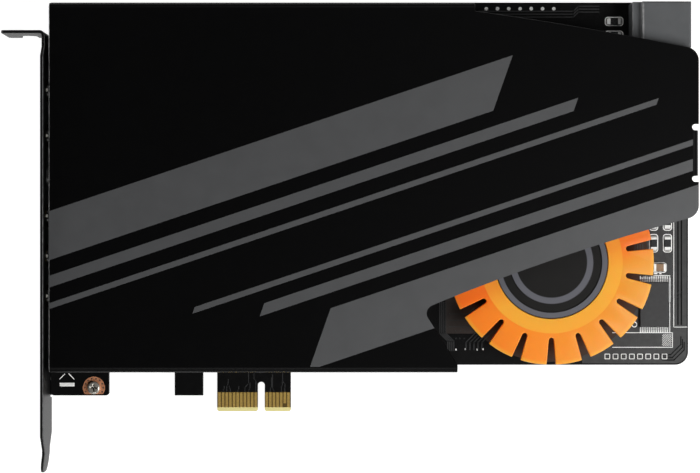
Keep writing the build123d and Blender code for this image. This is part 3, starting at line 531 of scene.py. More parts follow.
def ring_dot(bm, x, y, inner, outer, z0, z1, steps=VIA_STEPS):
    """Flat ring such as a via or a printed dot."""
    turned(bm, [(inner, z0), (outer, z0), (outer, z1), (inner, z1), (inner, z0)], x, y, steps)


def rounded_frame(bm, low, high, radius, width, z0, z1):
    """Closed flat frame with rounded corners."""
    size = (Vector(high) - Vector(low)) / 2
    middle = (Vector(high) + Vector(low)) / 2
    made = bmesh.ops.create_grid(bm, x_segments=1, y_segments=1, size=1)
    verts = made["verts"]
    bmesh.ops.transform(bm, verts=verts, matrix=Matrix.Translation(mm(*middle, z1))
                        @ Matrix.Diagonal((size.x * MM, size.y * MM, 1, 1)))
    others = set(bm.faces) - set(verts[0].link_faces)
    bmesh.ops.bevel(bm, geom=verts, offset=radius * MM, offset_type="OFFSET", segments=CORNER_SEGMENTS,
                    profile=0.5, affect="VERTICES", material=-1)
    face = next(f for f in bm.faces if f not in others)
    made = bmesh.ops.inset_region(bm, faces=[face], thickness=width * MM, use_boundary=True,
                                  use_even_offset=True)
    bmesh.ops.delete(bm, geom=[face], context="FACES")
    made = bmesh.ops.extrude_face_region(bm, geom=made["faces"])
    lower = [g for g in made["geom"] if isinstance(g, bmesh.types.BMVert)]
    bmesh.ops.translate(bm, verts=lower, vec=mm(0, 0, z0 - z1))


def flat_top(name):
    """The highest flat faces of a CAD node, as an open sheet."""
    bm = merged(name)
    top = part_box(name)[1].z
    lower = [f for f in bm.faces if min(v.co.z for v in f.verts) < top - MERGE * MM]
    bmesh.ops.delete(bm, geom=lower, context="FACES")
    return bm


def cut_away(bm, corner, facing):
    """Cuts off what lies beyond a plane through a corner."""
    bmesh.ops.bisect_plane(bm, geom=bm.verts[:] + bm.edges[:] + bm.faces[:], dist=MERGE * MM / 10,
                           plane_co=corner, plane_no=facing, clear_outer=True)


def thicken(bm, below, above):
    """Makes an open sheet a closed plate that reaches so far below and above it."""
    join_flat(bm)
    made = bmesh.ops.extrude_face_region(bm, geom=bm.faces[:])
    upper = {g for g in made["geom"] if isinstance(g, bmesh.types.BMVert)}
    lower = [v for v in bm.verts if v not in upper]
    bmesh.ops.translate(bm, verts=list(upper), vec=mm(0, 0, above))
    bmesh.ops.translate(bm, verts=lower, vec=mm(0, 0, -below))
    outward(bm)


# Places read from the frame

eye = (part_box("eye_hub")[0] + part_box("eye_hub")[1]) / 2 / MM
board_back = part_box("circuit_board")[0].z / MM
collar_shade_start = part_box("circuit_board")[0].x / MM - COLLAR_SHADE_SHORT
chip_parts = solids("chip_resistors") + solids("chip_capacitors")
front_contacts = solids("slot_contacts_front")
bare_top = front_contacts[0][1].y + BARE_ABOVE
bare_left = front_contacts[0][0].x - BARE_BESIDE
jacks = [name for name in sorted(nodes) if name.endswith("_jack")]


# Finishes

def shader_node(tree, kind, values=None, **settings):
    """New shader node with its settings and input values."""
    made = tree.nodes.new(kind)
    for key, value in settings.items():
        setattr(made, key, value)
    for key, value in (values or {}).items():
        made.inputs[key].default_value = value
    return made


def card_place(tree, stretch=(1, 1, 1), centre=(0, 0, 0)):
    """Coordinates of the card itself, moved to a centre in millimetres and stretched."""
    where = shader_node(tree, "ShaderNodeTexCoord")
    shift = tuple(-c * MM * s for c, s in zip(centre, stretch))
    mapped = shader_node(tree, "ShaderNodeMapping", {"Location": shift, "Scale": stretch})
    tree.links.new(where.outputs["Object"], mapped.inputs["Vector"])
    return mapped.outputs["Vector"]


def coordinate(tree, axis, centre=(0, 0, 0)):
    """One coordinate of the card, in metres."""
    split = shader_node(tree, "ShaderNodeSeparateXYZ")
    tree.links.new(card_place(tree, centre=centre), split.inputs[0])
    return split.outputs[axis]


def tilt(tree, axis):
    """One part of the way that a surface faces, in the card's own axes."""
    where = shader_node(tree, "ShaderNodeTexCoord")
    split = shader_node(tree, "ShaderNodeSeparateXYZ")
    tree.links.new(where.outputs["Normal"], split.inputs[0])
    return split.outputs[axis]


def noise(tree, grain, detail=NOISE_DETAIL, rough=0.5, stretch=(1, 1, 1)):
    """Noise whose grains are about so many millimetres wide."""
    values = {"Scale": 1 / (grain * MM), "Detail": detail, "Roughness": rough}
    made = shader_node(tree, "ShaderNodeTexNoise", values)
    tree.links.new(card_place(tree, stretch), made.inputs["Vector"])
    return made.outputs["Fac"]


def spread(tree, source, low, high, start=0.3, end=0.7):
    """Number that runs from low to high as the source does from start to end."""
    values = {"From Min": start, "From Max": end, "To Min": low, "To Max": high}
    made = shader_node(tree, "ShaderNodeMapRange", values, clamp=True)
    tree.links.new(source, made.inputs["Value"])
    return made.outputs["Result"]


def past(tree, source, edge, blur):
    """Nought before an edge and one past it, with the change blurred a little each way."""
    return spread(tree, source, 0, 1, (edge - blur) * MM, (edge + blur) * MM)


def before(tree, source, edge, blur):
    """One before an edge and nought past it, with the change blurred a little each way."""
    return spread(tree, source, 1, 0, (edge - blur) * MM, (edge + blur) * MM)


def blend(tree, factor, first, second):
    """Colour between two others, each a colour or an output."""
    made = shader_node(tree, "ShaderNodeMix", data_type="RGBA")
    tree.links.new(factor, made.inputs["Factor"])
    colour_sockets = [socket for socket in made.inputs if socket.type == "RGBA"]
    for socket, colour in zip(colour_sockets, (first, second)):
        if isinstance(colour, tuple):
            socket.default_value = (*colour, 1)
        else:
            tree.links.new(colour, socket)
    return next(socket for socket in made.outputs if socket.type == "RGBA")


def tint(colour, share):
    """A colour made lighter or darker by a share."""
    return tuple(c * (1 + share) for c in colour)


def math_node(tree, operation, *sources):
    """Sum, product or comparison of outputs and numbers."""
    made = shader_node(tree, "ShaderNodeMath", operation=operation)
    for socket, source in zip(made.inputs, sources):
        if isinstance(source, (int, float)):
            socket.default_value = source
        else:
            tree.links.new(source, socket)
    return made.outputs[0]


def finish(name, colour, rough, metal=0.0, specular=0.5, drift=0.12, patch=9.0, rough_spread=0.08,
           grain=0.3, bump=0.05, stretch=(1, 1, 1), coat=0.0):
    """Finish with a colour that drifts in patches, uneven gloss and a fine grain in its surface."""
    made = bpy.data.materials.new(name)
    made.use_nodes = True
    tree = made.node_tree
    shader = tree.nodes["Principled BSDF"]
    shader.inputs["Metallic"].default_value = metal
    shader.inputs["Specular IOR Level"].default_value = specular
    shader.inputs["Coat Weight"].default_value = coat
    patches = spread(tree, noise(tree, patch), 0, 1)
    drifting = blend(tree, patches, tint(colour, -drift), tint(colour, drift))
    tree.links.new(drifting, shader.inputs["Base Color"])
    fine = noise(tree, grain, rough=GRAIN_ROUGHNESS, stretch=stretch)
    gloss = spread(tree, fine, rough - rough_spread, rough + rough_spread)
    tree.links.new(gloss, shader.inputs["Roughness"])
    relief = shader_node(tree, "ShaderNodeBump", {"Strength": bump, "Distance": GRAIN_DEPTH * MM})
    tree.links.new(fine, relief.inputs["Height"])
    tree.links.new(relief.outputs["Normal"], shader.inputs["Normal"])
    return made


def brushed_finish(name, colour, rough, stretch, metal=1.0):
    """Metal brushed along one way."""
    return finish(name, colour, rough, metal=metal, drift=0.1, patch=7, rough_spread=0.12, grain=0.12,
                  bump=0.06, stretch=stretch)


def base_colour(made):
    """The tree, the shader and the output that feeds its base colour."""
    tree = made.node_tree
    shader = tree.nodes["Principled BSDF"]
    return tree, shader, shader.inputs["Base Color"].links[0].from_socket


def painted_edge_highlights(made, colour, side):
    """Paints a highlight in places along the rounded edges that face one way along the card."""
    tree, shader, paint = base_colour(made)
    up = spread(tree, math_node(tree, "ABSOLUTE", tilt(tree, "Z")), 0, 1, *HIGHLIGHT_TILT)
    out = spread(tree, math_node(tree, "MULTIPLY", tilt(tree, "X"), side), 0, 1, *HIGHLIGHT_TILT)
    highlight_patches = spread(tree, noise(tree, HIGHLIGHT_GRAIN, HIGHLIGHT_DETAIL), HIGHLIGHT_LEAST, 1)
    highlight_share = math_node(tree, "MULTIPLY", math_node(tree, "MULTIPLY", up, out), highlight_patches)
    tree.links.new(blend(tree, highlight_share, paint, colour), shader.inputs["Base Color"])
    return made


def cover_finish():
    """Black paint with a fine grain, and a painted highlight along the edge by the bracket."""
    paint = finish("cover_paint", COVER_COLOUR, 0.42, specular=0.08, patch=5, rough_spread=0.06, grain=0.22,
                   bump=0.25)
    return painted_edge_highlights(paint, COVER_EDGE_HIGHLIGHT, TO_BRACKET)


def bracket_finish():
    """Black plated steel with a grain along the bracket, and a painted highlight at the edges by the cover.
    """
    plating = finish("bracket_steel", PLATED_STEEL, 0.42, specular=0.12, drift=0.15, patch=7, grain=0.15,
                     bump=0.1, stretch=(4, 0.3, 4))
    return painted_edge_highlights(plating, BRACKET_EDGE_HIGHLIGHT, FROM_BRACKET)


def socket_finish():
    """Grey moulded plastic, with a painted highlight along the edge of the socket's step."""
    plastic = finish("socket_plastic", SOCKET_GREY, 0.38, drift=0.1, patch=6, grain=0.2, bump=0.12)
    return painted_edge_highlights(plastic, SOCKET_EDGE_HIGHLIGHT, TO_BRACKET)


def mask_finish():
    """Black solder mask, with brown laminate at the board's edges and bare laminate round the contacts."""
    made = finish("solder_mask", MASK_COLOUR, 0.3, specular=0.24, drift=0.3, patch=1.6, rough_spread=0.05,
                  grain=0.12, bump=0.08)
    tree, shader, colour = base_colour(made)
    upright = math_node(tree, "ABSOLUTE", tilt(tree, "Z"))
    weave = noise(tree, WEAVE_GRAIN, rough=WEAVE_ROUGHNESS, stretch=WEAVE_STRETCH)
    wall = spread(tree, upright, 1, 0, *WALL_TILT)
    colour = blend(tree, wall, colour, blend(tree, weave, LAMINATE_DARK, LAMINATE_COLOUR))
    below = before(tree, coordinate(tree, "Y"), bare_top, BARE_BLUR)
    beside = past(tree, coordinate(tree, "X"), bare_left, BARE_BLUR)
    between = math_node(tree, "MULTIPLY", below, beside)
    colour = blend(tree, between, colour, BETWEEN_CONTACTS)
    off_face = spread(tree, upright, 1, 0, *FACE_TILT)
    off_wall = spread(tree, upright, 0, 1, *BEVEL_TILT)
    bevel = math_node(tree, "MULTIPLY", off_face, off_wall)
    bare = blend(tree, weave, tint(BARE_LAMINATE, WEAVE_SHADE), BARE_LAMINATE)
    tree.links.new(blend(tree, bevel, colour, bare), shader.inputs["Base Color"])
    return made


def eye_radius(tree):
    """Distance from the eye's axis, in metres."""
    radius = shader_node(tree, "ShaderNodeVectorMath", operation="LENGTH")
    tree.links.new(card_place(tree, (1, 1, 0), (eye.x, eye.y, 0)), radius.inputs[0])
    return radius.outputs["Value"]


def hub_finish():
    """Dark moulded hub with two lighter rings turned round the eye's axis."""
    made = finish("hub_plastic", HUB_COLOUR, 0.42, specular=0.2, patch=4, grain=0.15, bump=0.1)
    tree, shader, colour = base_colour(made)
    radius = eye_radius(tree)
    for inner, outer in HUB_RINGS:
        outside = past(tree, radius, inner, EYE_BLUR)
        inside = before(tree, radius, outer, EYE_BLUR)
        ring = math_node(tree, "MULTIPLY", outside, inside)
        colour = blend(tree, ring, colour, HUB_RING_COLOUR)
    tree.links.new(colour, shader.inputs["Base Color"])
    return made


def ring_light_finish():
    """Painted orange light and shade that the eye ring casts on the mask under it, brown inside and greyer
    towards its rim.
    """
    made = finish("painted_ring_light_mask", PAINTED_RING_LIGHT_COLOUR, 0.4, specular=0.2, drift=0.25, patch=0.9, grain=0.12,
                  bump=0.07)
    tree, shader, colour = base_colour(made)
    inner, outer = FIELD_FADE
    fading = spread(tree, eye_radius(tree), 0, 1, inner * MM, outer * MM)
    tree.links.new(blend(tree, fading, colour, PAINTED_RING_LIGHT_RIM), shader.inputs["Base Color"])
    return made


def sweep_distance(tree):
    """Distance out from the cover's lower swept edge, in metres."""
    across = shader_node(tree, "ShaderNodeVectorMath", {1: (math.sin(BAR_TURN), -math.cos(BAR_TURN), 0)},
                         operation="DOT_PRODUCT")
    tree.links.new(card_place(tree, centre=(*BAR_ORIGIN, 0)), across.inputs[0])
    return across.outputs["Value"]


def ring_finish():
    """Translucent orange plastic, yellower on the inner band; painted light makes it yellower at the rim and
    on the right, and painted shade makes it deeper near the cover's edge and lower down.
    """
    made = finish("ring_plastic", RING_COLOUR, 0.32, specular=0.3, drift=0.04, patch=12, rough_spread=0.03,
                  grain=0.5, bump=0.006)
    tree, shader, colour = base_colour(made)
    shader.inputs["Subsurface Weight"].default_value = RING_GLOW
    shader.inputs["Subsurface Radius"].default_value = RING_GLOW_SHARES
    shader.inputs["Subsurface Scale"].default_value = RING_GLOW_REACH * MM
    # Painted light: yellower towards the right, where the lamps light the ring
    right = past(tree, coordinate(tree, "X", (eye.x, 0, 0)), 0, RING_DRIFT)
    colour = blend(tree, right, colour, RING_LIT_SIDE_COLOUR)
    radius = eye_radius(tree)
    band = before(tree, radius, RING_BAND, EYE_BLUR)
    colour = blend(tree, band, colour, RING_BAND_AND_HIGHLIGHT_COLOUR)
    # Painted highlight: yellower towards the outer rim
    rim_start, rim_end = RING_RIM_HIGHLIGHT
    rim = spread(tree, radius, 0, 1, rim_start * MM, rim_end * MM)
    colour = blend(tree, rim, colour, RING_BAND_AND_HIGHLIGHT_COLOUR)
    # Painted shade: deeper orange near the cover's lower edge, less of it on the inner band
    shade_start, shade_end = SHADE_REACH
    shade = spread(tree, sweep_distance(tree), SHADE_SHARE, 0, shade_start * MM, shade_end * MM)
    shade = math_node(tree, "MULTIPLY", shade, spread(tree, band, 1, BAND_SHADE, 0, 1))
    colour = blend(tree, shade, colour, RING_PAINTED_SHADE)
    # Painted shade: deeper red low down the slot walls
    deep, light = RING_DEPTH
    depth = spread(tree, coordinate(tree, "Z"), 1, 0, deep * MM, light * MM)
    tree.links.new(blend(tree, depth, colour, RING_LOW_SHADE), shader.inputs["Base Color"])
    return made


def screw_finish():
    """Plated screw, with painted shade on the floor of its cross recess."""
    made = brushed_finish("screw_steel", SCREW_COLOUR, 0.2, (1, 1, 1), metal=0.6)
    tree, shader, plating = base_colour(made)
    low, high = SCREW_RECESS
    deep = spread(tree, coordinate(tree, "Z"), 1, 0, low * MM, high * MM)
    flat = spread(tree, tilt(tree, "Z"), 0, 1, *RECESS_TILT)
    # Painted shade on the recess floor
    recess = math_node(tree, "MULTIPLY", deep, flat)
    dark = tint(SCREW_COLOUR, RECESS_SHADE)
    tree.links.new(blend(tree, recess, plating, dark), shader.inputs["Base Color"])
    return made


def collar_finish():
    """Gold plated mouth of a jack, with painted shade that makes it black behind the bracket, and a painted
    highlight as a pale matt line on its crown.
    """
    made = brushed_finish("collar_gold", GOLD_COLOUR, 0.2, (5, 1, 1))
    tree, shader, plating = base_colour(made)
    # Painted shade: black behind the bracket's inner face
    behind = past(tree, coordinate(tree, "X"), collar_shade_start, COLLAR_SHADE_BLUR)
    # Painted highlight: a pale matt line on the crown
    crown = spread(tree, tilt(tree, "Z"), 0, 1, *CROWN_HIGHLIGHT_TILT)
    body = blend(tree, crown, BLACK_AND_SHADED_COLLAR, CROWN_HIGHLIGHT_COLOUR)
    tree.links.new(blend(tree, behind, plating, body), shader.inputs["Base Color"])
    matt = math_node(tree, "MULTIPLY", behind, crown)
    tree.links.new(spread(tree, matt, 1, 0, 0, 1), shader.inputs["Metallic"])
    return made


# Finishes of the record's slots

finishes = {
    "solder_mask": mask_finish(),
    "contact_gold": brushed_finish("contact_gold", GOLD_COLOUR, 0.3, (6, 1, 6), metal=0.7),
    "bracket_steel": bracket_finish(),
    "screw_steel": screw_finish(),
    "cover_paint": cover_finish(),
    "standoff_metal": brushed_finish("standoff_metal", STANDOFF_BRASS, 0.32, (1, 1, 0.3)),
    "black_screw": finish("black_screw", BLACK_SCREW, 0.34, metal=0.7, drift=0.2, patch=1),
    "ring_plastic": ring_finish(),
    "hub_plastic": hub_finish(),
    "lamp_plastic": finish("lamp_plastic", LAMP_CREAM, 0.25, drift=0.06, patch=1.5, coat=0.3),
    "tinned_pin": brushed_finish("tinned_pin", TIN_COLOUR, 0.3, (1, 1, 0.3)),
    "socket_plastic": socket_finish(),
    "chip_plastic": finish("chip_plastic", CHIP_BLACK, 0.5, drift=0.25, patch=1.2, grain=0.08, bump=0.2),
    "chip_lead": brushed_finish("chip_lead", TIN_COLOUR, 0.3, (1, 1, 1), metal=0.4),
    "capacitor_can": brushed_finish("capacitor_can", CAN_SILVER, 0.3, (1, 1, 6)),
    "base_plastic": finish("base_plastic", BASE_BLACK, 0.5, patch=3),
    "film_plastic": finish("film_plastic", FILM_RED, 0.32, drift=0.15, patch=3),
    "relay_plastic": finish("relay_plastic", RELAY_IVORY, 0.45, drift=0.06, patch=5),
    "choke_ferrite": finish("choke_ferrite", FERRITE_GREY, 0.55, drift=0.2, patch=1.5, bump=0.25),
    "crystal_can": brushed_finish("crystal_can", CRYSTAL_SILVER, 0.28, (0.4, 4, 4)),
    "resistor_body": finish("resistor_body", RESISTOR_BLACK, 0.3, drift=0.25, patch=0.8),
    "ceramic_body": finish("ceramic_body", CERAMIC_TAN, 0.38, drift=0.15, patch=0.8),
    "jack_plastic": finish("jack_plastic", JACK_BLACK, 0.45, drift=0.2, patch=4, grain=0.2, bump=0.12),
    "collar_gold": collar_finish(),
    "collar_black": finish("collar_black", BLACK_AND_SHADED_COLLAR, 0.4, patch=3),
}


# Finishes of the print, the copper and the solder

cover_ink = finish("cover_ink", INK_COLOUR, 0.42, specular=0.75, drift=0.06, patch=5, rough_spread=0.05,
                   grain=0.22, bump=0.18)
board_ink = finish("board_ink", PRINT_COLOUR, 0.55, drift=0.1, patch=0.8, grain=0.1, bump=0.15)
track_mask = finish("track_mask", TRACK_COLOUR, 0.34, drift=0.15, patch=1.5, grain=0.12, bump=0.06)
gap_mask = finish("gap_mask", GAP_COLOUR, 0.45, specular=0.1, drift=0.15, patch=1.5, grain=0.12, bump=0.06)
pour_and_painted_light_mask = finish("pour_and_painted_light_mask", POUR_AND_PAINTED_LIGHT_COLOUR, 0.34, drift=0.2, patch=1.6, grain=0.12, bump=0.07)
bay_painted_light_mask = finish("bay_painted_light_mask", BAY_PAINTED_LIGHT_COLOUR, 0.34, specular=0.45, drift=0.2, patch=1.6, grain=0.12, bump=0.07)
painted_ring_light_mask = ring_light_finish()
bare_copper = finish("bare_copper", COPPER_COLOUR, 0.36, metal=0.55, drift=0.25, patch=0.9, grain=0.15,
                     bump=0.1)
solder = finish("solder", SOLDER_COLOUR, 0.42, metal=0.4, drift=0.08, patch=0.7, rough_spread=0.05,
                grain=0.4, bump=0.04)


# Pieces of the cover and the component side

def cover_print():
    """Plain parallel bars printed on the cover's flat top, cut by the top's own outline."""
    along = Vector((math.cos(BAR_TURN), math.sin(BAR_TURN), 0))
    across = Vector((-along.y, along.x, 0))
    end_turn = BAR_TURN + BAR_END_TURN
    onward = Vector((math.cos(end_turn), math.sin(end_turn), 0))
    origin = mm(*BAR_ORIGIN, 0)
    whole = bmesh.new()
    ink = bpy.data.meshes.new("ink")
    for low, high, start, end in BARS:
        bm = flat_top("cover")
        cut_away(bm, origin + across * low * MM, -across)
        cut_away(bm, origin + across * high * MM, across)
        cut_away(bm, origin + along * start * MM, -onward)
        cut_away(bm, origin + along * end * MM, onward)
        thicken(bm, INK_THICK, INK_THICK)
        bm.to_mesh(ink)
        bm.free()
        whole.from_mesh(ink)
    bpy.data.meshes.remove(ink)
    return piece("cover_print", whole, cover_ink)


def paler_mask_patch(name, low, high, coating):
    """Paler patch of the mask on the component side: copper under the mask at the board's end, made paler
    still with painted light from the right, and painted light only in the bay.
    """
    bm = flat_top("circuit_board")
    for corner, facing in ((low, (-1, 0, 0)), (low, (0, -1, 0)), (high, (1, 0, 0)), (high, (0, 1, 0))):
        cut_away(bm, mm(*corner, 0), facing)
    join_flat(bm)
    made = bmesh.ops.inset_region(bm, faces=bm.faces[:], thickness=POUR_INSET * MM, use_boundary=True,
                                  use_even_offset=True)
    bmesh.ops.delete(bm, geom=made["faces"], context="FACES")
    thicken(bm, SUNK, POUR_TOP)
    return piece(name, bm, coating)


def painted_ring_light():
    """Ring of board under the eye, painted brown with the light and shade that the ring casts there."""
    bm = bmesh.new()
    ring_dot(bm, eye.x, eye.y, *FIELD_RADII, -SUNK, FIELD_TOP, FIELD_STEPS)
    return piece("painted_ring_light", outward(bm), painted_ring_light_mask)


def front_tracks():
    """Tracks under the mask of the component side, where the cover leaves the board in view."""
    bm = bmesh.new()
    for width, count, shift, path in FRONT_TRACKS:
        tracks(bm, path, width, -SUNK, TRACK_TOP, count, shift)
    for i, rise, jog, run in TONGUE_TRACKS:
        low, high = front_contacts[i]
        x = (low.x + high.x) / 2
        bend = high.y + rise
        route = [(x, high.y), (x, bend), (x + jog, bend + abs(jog)), (x + jog, bend + abs(jog) + run)]
        tracks(bm, route, TONGUE_TRACK_WIDTH, -SUNK, TRACK_TOP)
    for x, y in FRONT_VIAS:
        ring_dot(bm, x, y, VIA_HOLE, VIA_RADIUS, -SUNK, TRACK_TOP)
    return piece("front_tracks", outward(bm), track_mask)


def front_gaps():
    """Gaps between the wide tracks at the board's end, darker than the mask on copper."""
    bm = bmesh.new()
    for width, count, shift, path in FRONT_GAPS:
        tracks(bm, path, width, -SUNK, TRACK_TOP, count, shift)
    return piece("front_gaps", bm, gap_mask)


def part_outline(bm, low, high):
    """White outline round a chip part, with one gap at the part's ends and another at its sides."""
    long_gap = CERAMIC_GAP if high.z > THIN_PART else RESISTOR_GAP
    gap = Vector((long_gap, SIDE_GAP) if high.x - low.x > high.y - low.y else (SIDE_GAP, long_gap))
    rounded_frame(bm, low.xy - gap, high.xy + gap, OUTLINE_CORNER, PRINT_LINE, -SUNK, PRINT_TOP)


def hatch(bm, low, high):
    """Thin diagonal lines across a rectangle of the board."""
    size = high - low
    for i in range(1, round((size.x + size.y) / HATCH_STEP)):
        along = i * HATCH_STEP - size.y
        start = low + Vector((max(along, 0), max(-along, 0)))
        run = min(high.x - start.x, high.y - start.y)
        bar(bm, start, start + Vector((run, run)), HATCH_LINE, -SUNK, PRINT_TOP)


def front_print():
    """White outlines printed round the parts of the component side, and plain marks between them."""
    bm = bmesh.new()
    for low, high in chip_parts:
        if high.x > PRINT_FROM_X:
            part_outline(bm, low, high)
    for start, end in PRINT_LINES:
        bar(bm, start, end, THIN_LINE, -SUNK, PRINT_TOP)
    for start, end in FOOT_STROKES:
        bar(bm, start, end, PRINT_LINE, -SUNK, PRINT_TOP)
    hatch(bm, Vector(HATCH_LOW), Vector(HATCH_HIGH))
    for low, high in PRINT_BLOCKS:
        slab(bm, (*low, -SUNK), (*high, PRINT_TOP))
    for i in range(BOX_COUNT):
        low = Vector(BOX_PLACE) + Vector((i * BOX_STEP, 0))
        high = low + Vector((BOX_SIZE, BOX_SIZE))
        rounded_frame(bm, low, high, BOX_CORNER, BOX_LINE, -SUNK, PRINT_TOP)
    ring_dot(bm, *PIN_ONE_RING, PIN_ONE_RADIUS - PRINT_LINE, PIN_ONE_RADIUS, -SUNK, PRINT_TOP, MARK_STEPS)
    return piece("front_print", outward(bm), board_ink)


def front_pads():
    """Tinned lands on the component side."""
    bm = bmesh.new()
    half = Vector(BAY_PAD) / 2
    for spot in BAY_PADS:
        middle = Vector(spot)
        slab(bm, (*(middle - half), -SUNK), (*(middle + half), VIA_TOP))
    memory_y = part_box("firmware_memory")[0].y / MM
    for low, high in solids("chip_leads"):
        past_low, past_high = (LAND_PAST, 0) if low.y < memory_y else (0, LAND_PAST)
        slab(bm, (low.x, low.y - past_low, -SUNK), (high.x, high.y + past_high, VIA_TOP))
    first_x, y = TEST_PAD_PLACE
    disc = [(0, -SUNK), (TEST_PAD_RADIUS, -SUNK), (TEST_PAD_RADIUS, VIA_TOP), (0, VIA_TOP)]
    for i in range(TEST_PAD_COUNT):
        turned(bm, disc, first_x + i * TEST_PAD_STEP, y, PAD_STEPS)
    return piece("front_pads", outward(bm), solder)


def end_cap(bm, low, high, axis, side):
    """Metal end of a chip part and the solder that climbs it."""
    end = (high if side > 0 else low)[axis]
    cap_low, cap_high = low.copy(), high.copy()
    inner = cap_low if side > 0 else cap_high
    inner[axis] = end - side * CAP_LENGTH
    margin = Vector((CAP_PLATE, CAP_PLATE, CAP_PLATE))
    slab(bm, cap_low - margin, cap_high + margin)
    toe_low, toe_high = cap_low.copy(), cap_high.copy()
    toe_low[axis], toe_high[axis] = sorted((end, end + side * FILLET_REACH))
    toe_high.z = low.z + (high.z - low.z) * FILLET_CLIMB
    others = set(bm.verts)
    slab(bm, toe_low, toe_high)
    outer = [v for v in bm.verts if v not in others
             and v.co.z > (low.z + FILLET_TOE) * MM and (v.co[axis] / MM - end) * side > FILLET_REACH / 2]
    bmesh.ops.translate(bm, verts=outer, vec=mm(0, 0, FILLET_TOE - toe_high.z))


def chip_ends():
    """Tinned ends and solder of the chip resistors and ceramic capacitors."""
    bm = bmesh.new()
    for low, high in chip_parts:
        size = high - low
        axis = 0 if size.x > size.y else 1
        for side in (-1, 1):
            end_cap(bm, low, high, axis, side)
    return piece("chip_ends", bm, solder)


def foot_land():
    """Bare copper land under the lower bracket screw, with a ring of stitching holes."""
    low, high = solids("bracket_screws")[0]
    x, y = ((low + high) / 2).xy
    bm = bmesh.new()
    ring_dot(bm, x, y, high.x - x - LAND_UNDER, FOOT_LAND_RADIUS, -SUNK, VIA_TOP, LAND_STEPS)
    cut_away(bm, mm(0, FOOT_LAND_CUT, 0), (0, -1, 0))
    bmesh.ops.holes_fill(bm, edges=bm.edges)
    land = piece("foot_land", outward(bm), bare_copper)
    holes = bmesh.new()
    for i in range(STITCH_COUNT):
        turn = math.tau * i / STITCH_COUNT
        spot = (x + STITCH_CIRCLE * math.cos(turn), y + STITCH_CIRCLE * math.sin(turn))
        if spot[1] > FOOT_LAND_CUT + STITCH_RADIUS:
            ring_dot(holes, *spot, STITCH_HOLE, STITCH_RADIUS, -SUNK, STITCH_TOP)
    return land, piece("stitch_holes", outward(holes), finishes["base_plastic"])


def memory_dimple():
    """Moulded dish that marks the memory's first lead."""
    low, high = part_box("firmware_memory")
    low, high = low / MM, high / MM
    floor_z, rim_z, sunk_z = high.z + DIMPLE_RIM / 2, high.z + DIMPLE_RIM, high.z - SUNK
    profile = [(0, floor_z), (DIMPLE_RADIUS * DIMPLE_FLOOR, floor_z), (DIMPLE_RADIUS * DIMPLE_LIP, rim_z),
               (DIMPLE_RADIUS, rim_z), (DIMPLE_RADIUS, sunk_z), (0, sunk_z)]
    bm = bmesh.new()
    turned(bm, profile, low.x + DIMPLE_INSET, low.y + DIMPLE_INSET, MARK_STEPS)
    return piece("memory_dimple", outward(bm), finishes["chip_plastic"], smooth=SMOOTH_ANGLE)


# Pieces of the solder side

def back_tracks():
    """Tracks under the mask of the solder side: one from each pin and contact, and bundles between them."""
    draw = random.Random(BACK_SEED)
    bm = bmesh.new()
    z0, z1 = board_back - TRACK_TOP, board_back + SUNK
    for low, high in solids("jack_pins"):
        x, y = ((low + high) / 2).xy
        reach = draw.uniform(*BACK_TRACK_REACH)
        jog = draw.choice((-1, 1)) * draw.uniform(*BACK_TRACK_JOG)
        route = [(x, y), (x + reach, y), (x + reach + abs(jog), y + jog), (x + 2 * reach, y + jog)]
        tracks(bm, route, BACK_TRACK_WIDTH, z0, z1)
    for low, high in solids("slot_contacts_back"):
        x = (low.x + high.x) / 2
        rise = draw.uniform(*BACK_CONTACT_RISE)
        jog = rise * BACK_CONTACT_JOG
        route = [(x, high.y), (x, high.y + rise), (x + jog, high.y + rise + jog)]
        tracks(bm, route, TONGUE_TRACK_WIDTH, z0, z1)
    for width, count, shift, path in BACK_TRACKS:
        tracks(bm, path, width, z0, z1, count, shift)
    return piece("back_tracks", bm, track_mask)


def back_vias():
    """Small plated holes of the solder side, in loose groups."""
    draw = random.Random(BACK_SEED)
    bm = bmesh.new()
    z0, z1 = board_back - VIA_TOP, board_back + SUNK
    for x0, y0, columns, rows, step in BACK_VIA_GROUPS:
        for column in range(columns):
            for row in range(rows):
                if draw.random() < BACK_VIA_SHARE:
                    x, y = x0 + column * step, y0 + row * step
                    ring_dot(bm, x, y, VIA_HOLE, VIA_RADIUS, z0, z1, BACK_VIA_STEPS)
    return piece("back_vias", outward(bm), solder)


def back_print():
    """White outlines printed on the solder side round the jacks' and the socket's pins."""
    bm = bmesh.new()
    z0, z1 = board_back - PRINT_TOP, board_back + SUNK
    for name in jacks + ["power_socket"]:
        low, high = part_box(name)
        rounded_frame(bm, (low / MM).xy, (high / MM).xy, OUTLINE_CORNER, PRINT_LINE, z0, z1)
    for low, high in solids("cover_screws"):
        x, y = ((low + high) / 2).xy
        outer = high.x - x + SCREW_RING_GAP
        ring_dot(bm, x, y, outer - PRINT_LINE, outer, z0, z1, SCREW_RING_STEPS)
    return piece("back_print", outward(bm), board_ink)


def tail_middle(name, low, high):
    """Where a pin goes through the board."""
    middle = ((low + high) / 2).xy
    if name == "power_pins":
        middle.x = low.x + (high.y - low.y) / 2
    return middle


def solder_cones():
    """Solder on the pins that come through the board: a cone on a round land at each."""
    bm = bmesh.new()
    sunk_z, foot = board_back + SUNK, board_back - VIA_TOP
    for name, land in (("jack_pins", JACK_LAND), ("power_pins", POWER_LAND)):
        for low, high in solids(name):
            x, y = tail_middle(name, low, high)
            tip = low.z + CONE_SHORT
            slope = [(land * radius, foot + (tip - foot) * way) for radius, way in CONE_PROFILE]
            profile = [(0, sunk_z), (land, sunk_z), (land, foot), *slope, (0, tip - CONE_SHORT / 2)]
            turned(bm, profile, x, y, CONE_STEPS)
    return piece("solder_cones", outward(bm), solder, smooth=SMOOTH_ANGLE)


# Stage

